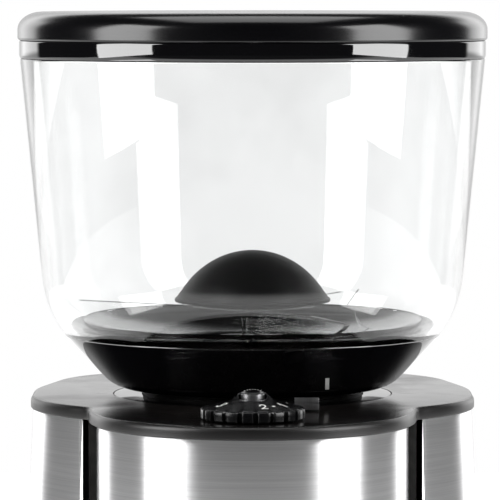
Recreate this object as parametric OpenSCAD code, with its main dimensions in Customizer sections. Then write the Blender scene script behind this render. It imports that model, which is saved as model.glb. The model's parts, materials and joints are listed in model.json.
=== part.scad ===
// Burr coffee grinder with a clear bean hopper, a geared grind dial and brushed side covers.
// Millimetres, +Z up, the front faces -Y. Plan sizes are given from the burr axis;
// the origin is on the floor, under the middle of the whole grinder.

/* [Housing] */
// Height of the rubber feet
foot_h = 8; // [6:1:12]
// Radius of the rubber feet
foot_r = 10; // [8:0.5:12]
// Thickness of the base plate
base_t = 6; // [4:0.5:8]
// Height of the brushed side covers
cover_h = 213.5; // [208:0.5:230]
// Thickness of the top plate
plate_t = 4.5; // [4:0.5:6]
// Sheet thickness of the covers and the front column
sheet_t = 1.2; // [0.8:0.1:1.6]
// Outward lean of the side covers in degrees
flare = 2.6; // [1:0.1:3.5]
// Overhang of the top plate past the side covers
cover_inset = 0.8; // [0.5:0.1:1.5]
// Edge rounding of the top plate
plate_round = 2; // [1:0.5:2]

/* [Plan] */
// Radius of the rounded sides
side_r = 60; // [58:0.5:62]
// Sideways place of the rounded sides' centres
side_x = 19.9; // [18:0.1:21]
// Place of the front side centres in front of the burr axis
side_front = 3.4; // [2:0.2:5]
// Place of the rear side centres behind the burr axis
side_rear = 12; // [10:0.5:14]
// Radius of the rear corners
corner_r = 46; // [44:0.5:48]
// Sideways place of the rear corner centres
corner_x = 28; // [26:0.5:29]
// Place of the rear corner centres behind the burr axis
corner_back = 38; // [36:0.5:40]
// Radius of the plate's front lobe
lobe_r = 55.8; // [55:0.2:57]
// Place of the front lobe's centre in front of the burr axis
lobe_reach = 59; // [58:0.5:60]
// Radius of the lobe where it meets the sides
lobe_side_r = 57; // [56:0.2:58]
// Place of that rounding's centre in front of the burr axis
lobe_side_reach = 54; // [52:0.5:56]
// Step from the front lobe's edge back to the column
column_inset = 1.6; // [1:0.2:2]
// Width of the dark strip between the column and each cover
strip_w = 5.3; // [4.5:0.1:6]
// Height of the front column
column_h = 87.5; // [84:0.5:92]
// Half width of the rear cover between the side covers
rear_half_w = 40; // [36:1:44]
// Thickness of the front panel
panel_t = 2.5; // [2:0.1:3]
// Face of the front panel in front of the burr axis
panel_reach = 46.5; // [46:0.1:47]
// Radius of the base under the tray
base_lobe_r = 58; // [56:0.5:60]
// Place of the tray's round end in front of the burr axis
tray_reach = 85; // [82:0.5:88]

/* [Hopper] */
// Gap between the top plate and the hopper bowl
hopper_gap = 2.3; // [2:0.1:3]
// Radius of the bowl's flat underside
bowl_flat_r = 44; // [43:0.5:46]
// Rounding between the underside and the cone
bowl_foot_r = 13.6; // [12:0.2:15]
// Length of the cone up the bowl
cone_len = 18.2; // [17:0.2:20]
// Lean of the cone from the vertical in degrees
cone_lean = 42; // [40:0.5:44]
// Rounding between the cone and the tall side
shoulder_r = 38; // [36:0.5:40]
// Lean of the tall side in degrees
shell_lean = 5.6; // [4:0.1:6.5]
// Height of the clear shell's top over the plate
shell_top = 121; // [110:1:130]
// Wall of the clear shell
shell_wall = 3.2; // [2.8:0.1:3.6]
// Height of the clear shell's lower edge over the plate
seam_z = 21.6; // [20:0.2:22.6]
// Height of the bowl's upper rim over the plate
bowl_rim_z = 25.2; // [24.4:0.2:26]
// Step of the bowl under the clear shell's edge
seam_step = 0.2; // [0.1:0.1:0.8]
// Height of the dark band
band_h = 6.5; // [5:0.5:8]
// Overhang of the band past the shell's top edge
band_lip = 0.3; // [0.1:0.1:0.6]
// Height of the lid
lid_h = 10.2; // [9:0.2:12]
// Overhang of the lid past the band
lid_lip = 0.5; // [0.2:0.1:1]
// Rounding of the lid's upper edge, as an ellipse's width
lid_edge_w = 8.8; // [7:0.2:10]
// Height of the lid's rounded edge
lid_edge_h = 6.4; // [5:0.2:7]
// Wall of the lid
lid_wall = 2.4; // [2:0.2:3]

/* [Hopper neck and bean guard] */
// Bore of the hopper neck as a radius
throat_r = 24; // [23:0.2:25]
// Wall of the hopper neck
neck_wall = 5; // [4.5:0.1:5.5]
// Depth of the hopper neck under the plate's top
neck_drop = 13.5; // [12:0.5:14]
// Height of the bean guard's hub over the plate
hub_top = 31.5; // [31:0.1:33]
// Height of the fin tips over the plate
fin_tip_z = 34.2; // [33.5:0.1:35]
// Thickness of the clear fins
fin_t = 2; // [1.6:0.1:2.4]
// Thickness of the guard's clear floor
guard_t = 1.6; // [1.2:0.1:1.8]
// Radius of the dome's rim
dome_r = 27.5; // [26:0.5:29]
// Height of the dome over its rim
dome_h = 16.7; // [15:0.5:18]
// Radius of the dome's foot
dome_foot_r = 19.8; // [18:0.2:21]
// Wall of the dome
dome_wall = 2; // [1.5:0.1:2.5]

/* [Burrs and chamber] */
// Outer radius of the burrs
burr_r = 32; // [30:0.5:33]
// Bore of the burrs as a radius
burr_bore_r = 17; // [16:0.5:18]
// Thickness of a burr
burr_t = 8; // [7:0.5:9]
// Gap between the burrs
burr_gap = 0.5; // [0.4:0.1:0.8]
// Teeth on each burr
burr_teeth = 30; // [24:1:36]
// Outer radius of the grinding chamber
chamber_r = 47; // [46:0.5:48]
// Bore of the grinding chamber as a radius
chamber_bore = 37.2; // [36.5:0.1:38]
// Floor thickness of the grinding chamber
chamber_floor = 12.5; // [12.5:0.5:14]
// Length of the adjusting ring in the chamber
thread_h = 8; // [7:0.5:9]
// Radius of the collar round the hopper neck
collar_r = 39.6; // [39:0.1:40]
// Outer radius of the flush trim ring
trim_r = 50.4; // [49:0.2:51]
// Thickness of the trim ring
trim_t = 2; // [1.5:0.1:2.5]

/* [Gears and dial] */
// Gear module
gear_m = 1.5; // [1.5:0.01:1.52]
// Teeth on the ring gear
ring_teeth = 66; // [66:1:68]
// Teeth on the idler and on the dial pinion
pinion_teeth = 18; // [18:2:18]
// Thickness of the gears
gear_t = 8; // [6:0.5:9]
// Gap between the ring gear and the plate's underside
gear_gap = 5.5; // [5:0.5:7]
// Play between meshing teeth
gear_backlash = 0.3; // [0.2:0.05:0.4]
// Radius of the grind dial
dial_r = 17.7; // [17:0.1:18.5]
// Height of the dial's fluted rim
dial_rim_h = 4.3; // [3.5:0.1:5]
// Height of the dial
dial_h = 10; // [9:0.2:11]
// Flutes round the dial
dial_flutes = 20; // [16:1:24]
// Radius of the dial's hub
dial_hub_r = 7.6; // [7:0.1:8.5]
// Radius of the dial shaft
dial_shaft_r = 4; // [3.5:0.1:4.5]

/* [Motor] */
// Gap between the front panel and the motor
motor_gap = 2; // [1.6:0.1:4]
// Height of the stator
stator_h = 60; // [50:1:62]
// Width of the windings
winding_w = 8; // [6:0.5:9]
// Air gap round the rotor
air_gap = 0.5; // [0.4:0.1:0.8]
// Radius of the motor shaft
shaft_r = 7.5; // [7:0.1:8]
// Outer radius of the bearings
bearing_r = 17.5; // [16:0.5:18]
// Width of the bearings
bearing_w = 11; // [10:0.5:12]
// Thickness of the steel deck
deck_t = 3; // [2.5:0.1:4]
// Radius of the pillars
pillar_r = 4; // [3.5:0.1:4.2]
// Sideways place of the front pillars
pillar_x = 55.4; // [55.2:0.1:56]

/* [Spout, fork and tray] */
// Place of the spout in front of the burr axis
spout_reach = 88; // [86:0.5:90]
// Bore of the spout as a radius
spout_r = 14; // [12:0.5:15]
// Length of the spout below the column
spout_drop = 19; // [16:1:22]
// Gap between the spout and the fork
fork_gap = 15; // [12:1:18]
// Radius of the fork's slot
fork_slot_r = 33; // [30:0.5:34]
// Width of each fork prong
prong_w = 8; // [7:0.5:9]
// Thickness of the fork
fork_t = 3; // [2.5:0.1:4]
// Height of the tray
tray_h = 12; // [11:0.5:14]
// Wall of the tray
tray_wall = 2; // [1.6:0.1:2.4]
// Thickness of the tray's grille
grille_t = 2; // [1.5:0.1:2.5]

/* [Controls] */
// Sideways place of the start button and the power rocker
control_x = 44; // [43:0.5:45]
// Height of the controls below the column
control_drop = 18; // [16:1:20]
// Radius of the start button
button_r = 7.5; // [6.5:0.1:8]
// Travel of the start button
button_travel = 4; // [3:0.5:4]
// Width of the rocker
rocker_w = 11; // [10:0.5:12]
// Height of the rocker
rocker_h = 19; // [17:0.5:20]
// Rest tilt of the rocker in degrees
rocker_tilt = 9; // [7:1:10]

/* [Hidden] */
$fn = 96;

// Colours
gloss_black = [0.03, 0.03, 0.035];
satin_black = [0.09, 0.085, 0.08];
clear = [0.9, 0.93, 0.95, 0.35];
steel = [0.72, 0.72, 0.72];
dark_steel = [0.3, 0.3, 0.32];
brass = [0.75, 0.6, 0.3];
copper = [0.72, 0.4, 0.22];
rubber = [0.06, 0.06, 0.06];

// Clearances
fit_gap = 0.05;     // a shaft in its bore
slip_gap = 0.15;    // a piece that drops into another
run_gap = 0.4;      // a turning piece beside a still one
seat_gap = 0.3;     // a sheet or panel beside its neighbour
eps = 0.01;

// Levels, from the floor
base_z = foot_h;
cover_z = base_z + base_t;
plate_z = cover_z + cover_h;
top_z = plate_z + plate_t;
gear_top = plate_z - gear_gap;
gear_z = gear_top - gear_t;
bracket_gap = 1;
bracket_t = 2.5;
chamber_top = gear_z - 2;
ring_z = chamber_top - thread_h;
upper_burr_z = ring_z - burr_t;
lower_burr_z = upper_burr_z - burr_gap - burr_t;
carrier_t = 5.5;
vane_h = 4;
vane_gap = 1;
chamber_cavity_z = lower_burr_z - carrier_t - vane_h - vane_gap;
deck_top = chamber_cavity_z - chamber_floor;
deck_z = deck_top - deck_t;
column_z = plate_z - column_h;
control_z = column_z - control_drop;
spout_z = column_z - spout_drop;
fork_z = spout_z - fork_gap - fork_t;

// Reach of the whole grinder from the burr axis, and the burr axis from the middle
inlet_flange_t = 2;
front_reach = tray_reach + base_lobe_r;
rear_reach = corner_back + corner_r - cover_inset + inlet_flange_t;
burr_y = (front_reach - rear_reach) / 2;

// Plan
widest = side_x + side_r - cover_inset;
spread = 1 + cover_h * tan(flare) / widest;
column_r = lobe_r - column_inset;
cover_edge_x = column_r + strip_w;
panel_half_w = cover_edge_x - 2;
panel_back = panel_reach - panel_t;
stator_r = panel_back - motor_gap;

// Gears
ring_pitch_r = gear_m * ring_teeth / 2;
pinion_pitch_r = gear_m * pinion_teeth / 2;
idler_reach = ring_pitch_r + pinion_pitch_r;
dial_reach = idler_reach + 2 * pinion_pitch_r;
pressure_angle = 25;
gear_addendum = 0.8 * gear_m;
gear_dedendum = 1.05 * gear_m;

module at_burr() { translate([0, burr_y, 0]) children(); }
module at_dial() { at_burr() translate([0, -dial_reach, 0]) children(); }

// A ring or tube from z0 to z1
module tube(r_out, r_in, z0, z1) {
    translate([0, 0, z0]) difference() {
        cylinder(r = r_out, h = z1 - z0);
        translate([0, 0, -1]) cylinder(r = r_in, h = z1 - z0 + 2);
    }
}

// A box given by its low and high corners
module block(low, high) { translate(low) cube(high - low); }

// Points of an arc from angle a0 to a1
function arc(c, r, a0, a1, n = 8) = [for (i = [0:n]) let (a = a0 + (a1 - a0) * i / n) c + r * [cos(a), sin(a)]];

// Plan of the main housing, moved inwards by inset
module main_plan(inset) {
    hull() {
        for (side = [-1, 1]) {
            translate([side * side_x, -side_front]) circle(r = side_r - inset, $fn = 72);
            translate([side * side_x, side_rear]) circle(r = side_r - inset, $fn = 72);
            translate([side * corner_x, corner_back]) circle(r = corner_r - inset, $fn = 72);
        }
    }
}

// The leaning main housing, widest at its foot
module leaning_plan(inset) {
    translate([0, 0, plate_z]) mirror([0, 0, 1])
        linear_extrude(height = cover_h, scale = [spread, 1], slices = 1) main_plan(inset);
}

// A round front with straight sides, running back to the line y_back in front of the burr axis
module round_front(reach, r, y_back) {
    intersection() {
        union() {
            translate([0, -reach]) circle(r = r);
            translate([-r, -reach]) square([2 * r, reach - y_back]);
        }
        translate([-r, -reach - r]) square([2 * r, reach + r - y_back]);
    }
}

// Plan of the front column, moved inwards by inset, back to the panel
module column_plan(inset) { round_front(lobe_reach, column_r - inset, panel_reach); }

// Plan of the tray bay, moved inwards by inset, back to y_back
module tray_plan(inset, y_back) { round_front(tray_reach, base_lobe_r - inset, y_back); }

// ---------- Hopper profile: radius and height over the plate ----------
foot_c = [bowl_flat_r, hopper_gap + bowl_foot_r];
cone_dir = [sin(cone_lean), cos(cone_lean)];
cone_normal = [cos(cone_lean), -sin(cone_lean)];
cone_low = foot_c + bowl_foot_r * cone_normal;
cone_high = cone_low + cone_len * cone_dir;
shoulder_c = cone_high - shoulder_r * cone_normal;
side_low = shoulder_c + shoulder_r * [cos(shell_lean), -sin(shell_lean)];
function side_radius(z) = side_low[0] + (z - side_low[1]) * tan(shell_lean);
shell_top_r = side_radius(shell_top);
band_r = shell_top_r + band_lip;
band_top = shell_top + band_h;
lid_r = band_r + lid_lip;

// Half section of the hopper's outside, moved inwards by inset, up to the shell's top
function hopper_half(inset) = concat(
    [[0, hopper_gap + inset]],
    arc(foot_c, bowl_foot_r - inset, -90, -cone_lean),
    arc(shoulder_c, shoulder_r - inset, -cone_lean, -shell_lean, 12),
    [[shell_top_r - inset / cos(shell_lean), shell_top], [0, shell_top]]
);

module hopper_solid(inset) { rotate_extrude() polygon(hopper_half(inset)); }
module over_plate() { at_burr() translate([0, 0, top_z]) children(); }

module hopper_shell() {
    color(clear) over_plate() difference() {
        hopper_solid(0);
        translate([0, 0, -eps]) hopper_solid(shell_wall);
        translate([0, 0, shell_top - shell_wall])
            cylinder(r = shell_top_r - shell_wall / cos(shell_lean), h = 2 * shell_wall);
        translate([0, 0, -1]) cylinder(r = 2 * shell_top_r, h = seam_z + 1);
    }
}

module hopper_band() {
    color(gloss_black) over_plate() tube(band_r, shell_top_r - shell_wall, shell_top, band_top);
}

// Funnel inside the bowl, its flat seat round the throat, and the neck's bore
rim_wall = 2;
seat_r = throat_r + 5;
seat_z = seam_z - 8.6;
knee_r = 50;
knee_z = seat_z + 6.4;
nest_inset = shell_wall + slip_gap;
rim_r = shoulder_c[0] + (shoulder_r - nest_inset) * cos(asin((shoulder_c[1] - bowl_rim_z) / (shoulder_r - nest_inset)));
neck_r = throat_r + neck_wall;

module hopper_bowl() {
    color(gloss_black) over_plate() difference() {
        union() {
            intersection() {
                hopper_solid(seam_step);
                cylinder(r = shell_top_r, h = seam_z - slip_gap);
            }
            intersection() {
                hopper_solid(nest_inset);
                cylinder(r = shell_top_r, h = bowl_rim_z);
            }
            translate([0, 0, -neck_drop]) cylinder(r = neck_r, h = neck_drop + hopper_gap + seam_step + 2);
        }
        rotate_extrude() polygon([[0, seat_z], [seat_r, seat_z], [knee_r, knee_z], [rim_r - rim_wall, bowl_rim_z],
            [rim_r - rim_wall, bowl_rim_z + 1], [0, bowl_rim_z + 1]]);
        translate([0, 0, -neck_drop - 1]) cylinder(r = throat_r, h = neck_drop + seat_z + 2);
        rotate_extrude() translate([neck_r, -seal_z]) square([2 * seal_groove, 2 * seal_r], center = true);
    }
}

seal_r = 1.2;
seal_groove = 2 * seal_r + fit_gap - slip_gap;
seal_z = neck_drop / 2;

module hopper_seal() {
    color(rubber) over_plate() translate([0, 0, -seal_z])
        rotate_extrude() translate([neck_r - seal_groove + seal_r, 0]) circle(r = seal_r - eps, $fn = 32);
}

// Bean guard: a clear funnel floor, a skirt on the bowl's seat and three fins
guard_points = [[61.2, 27.1], [53.1, 23], [36.9, 18.7]];
skirt_r = throat_r + 2;
skirt_t = 2;
skirt_top = 16.5;
fin_angles = [175, 298, 57];
fin_reach = shoulder_c[0] + (shoulder_r - shell_wall - seat_gap)
    * cos(asin((shoulder_c[1] - fin_tip_z) / (shoulder_r - shell_wall - seat_gap)));
hub_r = 4;

module bean_guard() {
    top_line = concat(guard_points, [[skirt_r, skirt_top]]);
    under_line = [for (i = [len(top_line) - 1:-1:0]) top_line[i] - [0, guard_t]];
    color(clear) over_plate() {
        rotate_extrude() polygon(concat(top_line, under_line));
        tube(skirt_r + skirt_t, skirt_r, seat_z, skirt_top);
        translate([0, 0, seat_z + 6]) cylinder(r = hub_r, h = hub_top - seat_z - 6);
        for (a = fin_angles)
            rotate([0, 0, a]) translate([0, fin_t / 2, 0]) rotate([90, 0, 0]) linear_extrude(height = fin_t)
                polygon(concat([[0, hub_top - seat_gap], [dome_foot_r + seat_gap, hub_top - seat_gap], [fin_reach - 1, fin_tip_z], [fin_reach, fin_tip_z - 0.4],
                    [fin_reach - 2.3, fin_tip_z - guard_t / 2]],
                    [for (p = guard_points) p - [0, guard_t / 2]],
                    [[skirt_r, skirt_top - 1], [skirt_r - 4, skirt_top - 1], [0, seat_z + 8]]));
    }
}

dome_ball = (dome_r * dome_r + dome_h * dome_h) / (2 * dome_h);
dome_base = hub_top + 2.7;
dome_lip_t = 1.2;

module finger_guard_dome() {
    color(satin_black) over_plate() difference() {
        union() {
            translate([0, 0, dome_base]) intersection() {
                translate([0, 0, dome_h - dome_ball]) sphere(r = dome_ball);
                cylinder(r = dome_r + 1, h = dome_h + 1);
            }
            translate([0, 0, dome_base - dome_lip_t]) cylinder(r = dome_r + 0.6, h = dome_lip_t);
            translate([0, 0, hub_top]) cylinder(r = dome_foot_r, h = dome_base - hub_top);
        }
        translate([0, 0, dome_base]) intersection() {
            translate([0, 0, dome_h - dome_ball]) sphere(r = dome_ball - dome_wall);
            cylinder(r = dome_r, h = dome_h);
        }
        translate([0, 0, hub_top + dome_wall])
            cylinder(r = dome_foot_r - dome_wall, h = dome_base - hub_top);
    }
}

// ---------- Lid ----------
lid_plug_h = 4;
lid_plug_r = shell_top_r - shell_wall - 2.5;

function lid_edge(inset) = [for (i = [0:10]) let (a = 90 * i / 10)
    [lid_r - lid_edge_w + (lid_edge_w - inset) * cos(a), band_top + lid_h - lid_edge_h + (lid_edge_h - inset) * sin(a)]];

module lid() {
    color(gloss_black) over_plate() difference() {
        union() {
            rotate_extrude() polygon(concat([[0, band_top], [lid_r - 0.6, band_top], [lid_r, band_top + 0.6]],
                lid_edge(0), [[0, band_top + lid_h]]));
            translate([0, 0, band_top - lid_plug_h]) cylinder(r = lid_plug_r, h = lid_plug_h + 1);
        }
        translate([0, 0, band_top - lid_plug_h - 1])
            cylinder(r = lid_plug_r - lid_wall, h = lid_plug_h + 1 + lid_h - lid_wall);
        rotate_extrude() translate([lid_plug_r, band_top - lid_plug_h / 2]) square([2, 2], center = true);
    }
}

module lid_seal() {
    color(rubber) over_plate()
        tube(shell_top_r - shell_wall - seat_gap, lid_plug_r - 1, band_top - lid_plug_h / 2 - 1,
            band_top - lid_plug_h / 2 + 1);
}

// ---------- Gears ----------
function involute(a) = tan(a) * 180 / PI - a;

// Half the angle of a tooth at radius r, for a gear with this many teeth
function tooth_half(teeth, pitch_r, r) =
    90 / teeth - gear_backlash / 4 / pitch_r * 180 / PI + involute(pressure_angle)
    - involute(acos(min(1, pitch_r * cos(pressure_angle) / r)));

// Outline of an involute gear with a tooth on the X axis
function gear_points(teeth) =
    let (pitch_r = gear_m * teeth / 2,
        base_r = pitch_r * cos(pressure_angle),
        root_r = pitch_r - gear_dedendum,
        tip_r = pitch_r + gear_addendum,
        low_r = max(base_r, root_r + 0.1),
        flank = [root_r, low_r, (low_r + pitch_r) / 2 + 0.2, tip_r])
    [for (k = [0:teeth - 1]) each concat(
        [for (r = flank) let (a = 360 * k / teeth - tooth_half(teeth, pitch_r, max(r, low_r)))
            r * [cos(a), sin(a)]],
        [for (i = [len(flank) - 1:-1:0]) let (r = flank[i], a = 360 * k / teeth + tooth_half(teeth, pitch_r, max(r, low_r)))
            r * [cos(a), sin(a)]])];

module gear(teeth, bore_r, h) {
    difference() {
        linear_extrude(height = h) polygon(gear_points(teeth));
        translate([0, 0, -1]) cylinder(r = bore_r, h = h + 2);
    }
}

ring_seat_r = collar_r - 2.6;

module ring_gear() {
    color(brass) at_burr() translate([0, 0, gear_z]) rotate([0, 0, -90]) gear(ring_teeth, ring_seat_r, gear_t);
}

idler_bore_r = 3;

module idler_gear() {
    color(brass) at_burr() translate([0, -idler_reach, gear_z])
        rotate([0, 0, 90 + 180 / pinion_teeth]) gear(pinion_teeth, idler_bore_r + fit_gap, gear_t);
}

module dial_pinion() {
    color(brass) at_dial() translate([0, 0, gear_z]) rotate([0, 0, 90])
        gear(pinion_teeth, dial_shaft_r, gear_t);
}

// ---------- Grind dial ----------
dial_lift = 0.5;
dial_z = top_z + dial_lift;
dial_recess_r = dial_hub_r - 2.2;
dial_recess = 1.6;
flute_r = 1.7;
shaft_top = dial_z + dial_h - dial_recess;

module grind_dial() {
    color(gloss_black) at_dial() translate([0, 0, dial_z]) difference() {
        union() {
            cylinder(r = dial_r, h = dial_rim_h);
            translate([0, 0, dial_rim_h - eps])
                cylinder(r1 = dial_r - flute_r, r2 = dial_hub_r, h = dial_h - dial_rim_h - 0.8);
            cylinder(r = dial_hub_r, h = dial_h);
        }
        for (k = [0:dial_flutes - 1])
            rotate([0, 0, 360 * (k + 0.5) / dial_flutes]) translate([dial_r + 0.7, 0, -1])
                cylinder(r = flute_r, h = dial_rim_h + 2, $fn = 24);
        translate([0, 0, dial_h - dial_recess]) cylinder(r = dial_recess_r, h = dial_recess + 1);
        translate([0, 0, -1]) cylinder(r = dial_shaft_r, h = dial_h + 2);
    }
}

module dial_screw() {
    color(steel) at_dial() translate([0, 0, shaft_top]) difference() {
        cylinder(r = dial_recess_r - 0.6, h = 1.3);
        translate([-dial_recess_r, -0.5, 0.6]) cube([2 * dial_recess_r, 1, 1]);
    }
}

shaft_foot = gear_z - bracket_gap - bracket_t - 1;
shaft_collar_r = dial_shaft_r + 2;
shaft_collar_t = 1.5;

module dial_shaft() {
    color(steel) at_dial() {
        translate([0, 0, shaft_foot]) cylinder(r = dial_shaft_r, h = shaft_top - shaft_foot);
        translate([0, 0, gear_top]) cylinder(r = shaft_collar_r, h = shaft_collar_t);
    }
}

bush_r = dial_shaft_r + 3;
bush_flange_t = 0.3;
bush_foot = 1.5;

module dial_bush() {
    color(brass) at_dial() {
        tube(bush_r, dial_shaft_r + fit_gap, plate_z - bush_foot, top_z);
        tube(bush_r + 1.5, dial_shaft_r + fit_gap, plate_z - bush_foot, plate_z);
        tube(bush_r, dial_shaft_r + fit_gap, top_z - eps, top_z + bush_flange_t - 0.1);
    }
}

// A bent silver tab behind the dial, its nose pointing at the scale
pointer_x = dial_r - 3.2;
pointer_w = 8.4;
pointer_t = 0.9;
pointer_h = 5;
pointer_reach = dial_reach - dial_r - 6.3;
pointer_foot = 6;
pointer_nose_x = pointer_x + 2;
pointer_way = [pointer_nose_x, dial_reach - pointer_reach] / norm([pointer_nose_x, dial_reach - pointer_reach]);
pointer_tip = [0, -dial_reach] + (dial_r + 0.8) * pointer_way;

module dial_pointer() {
    color(steel) at_burr() translate([0, 0, top_z]) {
        block([pointer_x, -pointer_reach, 0], [pointer_x + pointer_w, -pointer_reach + pointer_foot, pointer_t]);
        block([pointer_x, -pointer_reach, 0], [pointer_x + pointer_w, -pointer_reach + pointer_t, pointer_h]);
        linear_extrude(height = pointer_t) polygon([[pointer_x, -pointer_reach + pointer_t / 2],
            pointer_tip, pointer_tip + [0.6, 0.2], [pointer_x + pointer_w / 2, -pointer_reach + pointer_t / 2]]);
    }
}

// Bracket under the gears, hung from the top plate, with the idler's stud
bracket_z = gear_z - bracket_gap - bracket_t;
bracket_post_x = pinion_pitch_r + gear_addendum + 8;
bracket_post_reach = idler_reach + pinion_pitch_r;
bracket_post_r = 3;
bracket_half_w = 9;
bracket_bar_w = 12;
bracket_past_post = 5;
bracket_chamber_gap = 3;

module gear_bracket() {
    color(dark_steel) at_burr() difference() {
        union() {
            block([-bracket_half_w, -dial_reach - bracket_half_w, bracket_z],
                [bracket_half_w, -chamber_r - bracket_chamber_gap, bracket_z + bracket_t]);
            block([-bracket_post_x - bracket_past_post, -bracket_post_reach - bracket_bar_w / 2, bracket_z],
                [bracket_post_x + bracket_past_post, -bracket_post_reach + bracket_bar_w / 2, bracket_z + bracket_t]);
            for (side = [-1, 1])
                translate([side * bracket_post_x, -bracket_post_reach, bracket_z])
                    cylinder(r = bracket_post_r, h = plate_z - bracket_z);
            translate([0, -idler_reach, bracket_z]) cylinder(r = idler_bore_r, h = gear_top + 1 - bracket_z);
            tube_at(-idler_reach, idler_bore_r + 2, bracket_z, gear_z - 0.2);
        }
        translate([0, -dial_reach, bracket_z - 1]) cylinder(r = dial_shaft_r + fit_gap, h = bracket_t + 2);
    }
}

module tube_at(y, r, z0, z1) { translate([0, y, z0]) cylinder(r = r, h = z1 - z0); }

// ---------- Adjusting ring and burrs ----------
neck_seat_z = top_z - neck_drop;
carrier_bore_r = throat_r;
collar_top = top_z + hopper_gap - 0.4;
groove_pitch = 1.1;
burr_screw_ring = (burr_r + burr_bore_r) / 2;
burr_screw_r = 2;

module adjusting_ring() {
    color(satin_black) at_burr() difference() {
        union() {
            translate([0, 0, ring_z]) cylinder(r = chamber_bore - fit_gap, h = gear_z - ring_z);
            translate([0, 0, gear_z - eps]) cylinder(r = ring_seat_r, h = gear_t + 2 * eps);
            translate([0, 0, gear_top]) cylinder(r = collar_r, h = collar_top - gear_top);
        }
        translate([0, 0, neck_seat_z]) cylinder(r = neck_r + slip_gap, h = collar_top);
        translate([0, 0, ring_z - 1]) cylinder(r = carrier_bore_r, h = collar_top);
        for (k = [0:2])
            rotate([0, 0, 120 * k]) translate([burr_screw_ring, 0, ring_z - 1])
                cylinder(r = burr_screw_r, h = 5, $fn = 24);
    }
}

// A flat burr with a coned bore; its cutting face is at the top, fine teeth outside, coarse ones inside
fine_tooth_w = 1.6;
fine_tooth_depth = 1.2;
coarse_tooth_w = 3;
coarse_tooth_depth = 2;
fine_from_r = burr_screw_ring + burr_screw_r + 2;

module burr() {
    difference() {
        cylinder(r = burr_r, h = burr_t);
        translate([0, 0, -1]) cylinder(r = burr_bore_r, h = burr_t + 2);
        translate([0, 0, burr_t - 3]) cylinder(r1 = burr_bore_r, r2 = burr_bore_r + 5, h = 3 + eps);
        for (k = [0:burr_teeth - 1]) rotate([0, 0, 360 * (k + 0.5) / burr_teeth])
            block([fine_from_r, -fine_tooth_w / 2, burr_t - fine_tooth_depth], [burr_r + 2, fine_tooth_w / 2, burr_t + 1]);
        for (k = [0:2], a = [30, 60, 90]) rotate([0, 0, 120 * k + a])
            block([burr_bore_r - 2, -coarse_tooth_w / 2, burr_t - coarse_tooth_depth],
                [fine_from_r - 0.5, coarse_tooth_w / 2, burr_t + 1]);
        for (k = [0:2]) rotate([0, 0, 120 * k]) translate([burr_screw_ring, 0, -1])
            cylinder(r = burr_screw_r + 1.6, h = burr_t + 2, $fn = 24);
    }
}

module upper_burr() {
    color(steel) at_burr() translate([0, 0, ring_z]) mirror([0, 0, 1]) burr();
}

module lower_burr() {
    color(steel) at_burr() translate([0, 0, lower_burr_z]) burr();
}

// Three countersunk screws, heads towards +Z, seated in a burr whose back is at z = 0
module burr_screws() {
    for (k = [0:2]) rotate([0, 0, 120 * k]) translate([burr_screw_ring, 0, 0]) {
        cylinder(r = burr_screw_r + 1.6, h = burr_t - 2.5, $fn = 24);
        translate([0, 0, -4]) cylinder(r = burr_screw_r, h = 4 + eps, $fn = 24);
    }
}

module upper_burr_screws() {
    color(dark_steel) at_burr() translate([0, 0, ring_z]) mirror([0, 0, 1]) burr_screws();
}

module lower_burr_screws() {
    color(dark_steel) at_burr() translate([0, 0, lower_burr_z]) burr_screws();
}

carrier_z = lower_burr_z - carrier_t;
carrier_r = burr_r + 2;
nut_h = 6;

module burr_carrier() {
    color(steel) at_burr() difference() {
        union() {
            translate([0, 0, carrier_z]) cylinder(r = carrier_r, h = carrier_t);
            for (k = [0:2]) rotate([0, 0, 120 * k + 60])
                block([bearing_r - 2, -2, carrier_z - vane_h], [carrier_r, 2, carrier_z + eps]);
            translate([0, 0, lower_burr_z - eps]) cylinder(r = burr_bore_r - 0.1, h = 4);
            translate([0, 0, carrier_z - vane_h]) cylinder(r = shaft_r + 3, h = vane_h + eps);
        }
        translate([0, 0, carrier_z - vane_h - 1]) cylinder(r = shaft_r, h = carrier_t + vane_h + 8);
        for (k = [0:2]) rotate([0, 0, 120 * k]) translate([burr_screw_ring, 0, lower_burr_z - 4])
            cylinder(r = burr_screw_r, h = 5, $fn = 24);
    }
}

shaft_end_z = lower_burr_z + 4;

module carrier_nut() {
    color(dark_steel) at_burr() translate([0, 0, shaft_end_z]) difference() {
        cylinder(r = shaft_r + 4, h = nut_h, $fn = 6);
        translate([0, 0, -1]) cylinder(r = shaft_r - 2.5, h = nut_h + 2);
    }
}

module grinding_chamber() {
    port_w = 13;
    port_h = 13;
    color([0.6, 0.6, 0.62]) at_burr() difference() {
        union() {
            translate([0, 0, deck_top]) cylinder(r = chamber_r, h = chamber_top - deck_top);
            block([-port_w - 4, -chute_face, chamber_cavity_z - 2],
                [port_w + 4, -chamber_bore, chamber_cavity_z + port_h + 4]);
        }
        translate([0, 0, chamber_cavity_z]) cylinder(r = chamber_bore, h = chamber_top);
        translate([0, 0, deck_top - 1]) cylinder(r = bearing_r, h = bearing_w + 1);
        translate([0, 0, deck_top]) cylinder(r = bearing_r - 3, h = chamber_floor + 1);
        block([-port_w, -chute_face - 1, chamber_cavity_z], [port_w, -chamber_bore + 6, chamber_cavity_z + port_h]);
        for (p = chamber_bolts) translate([p[0], p[1], deck_top - 1])
            cylinder(r = chamber_bolt_r, h = chamber_bolt_depth + 1, $fn = 24);
    }
}

chute_face = chamber_r + 1.2;
chamber_bolt_r = 2.5;
chamber_bolt_depth = 8;
chamber_bolts = [for (a = [30, 150, 210, 330]) (chamber_bore + chamber_r) / 2 * [cos(a), sin(a)]];

// A clear way from the chamber's port down to the spout
chute_wall = 1.8;
chute_port = 13;

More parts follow.
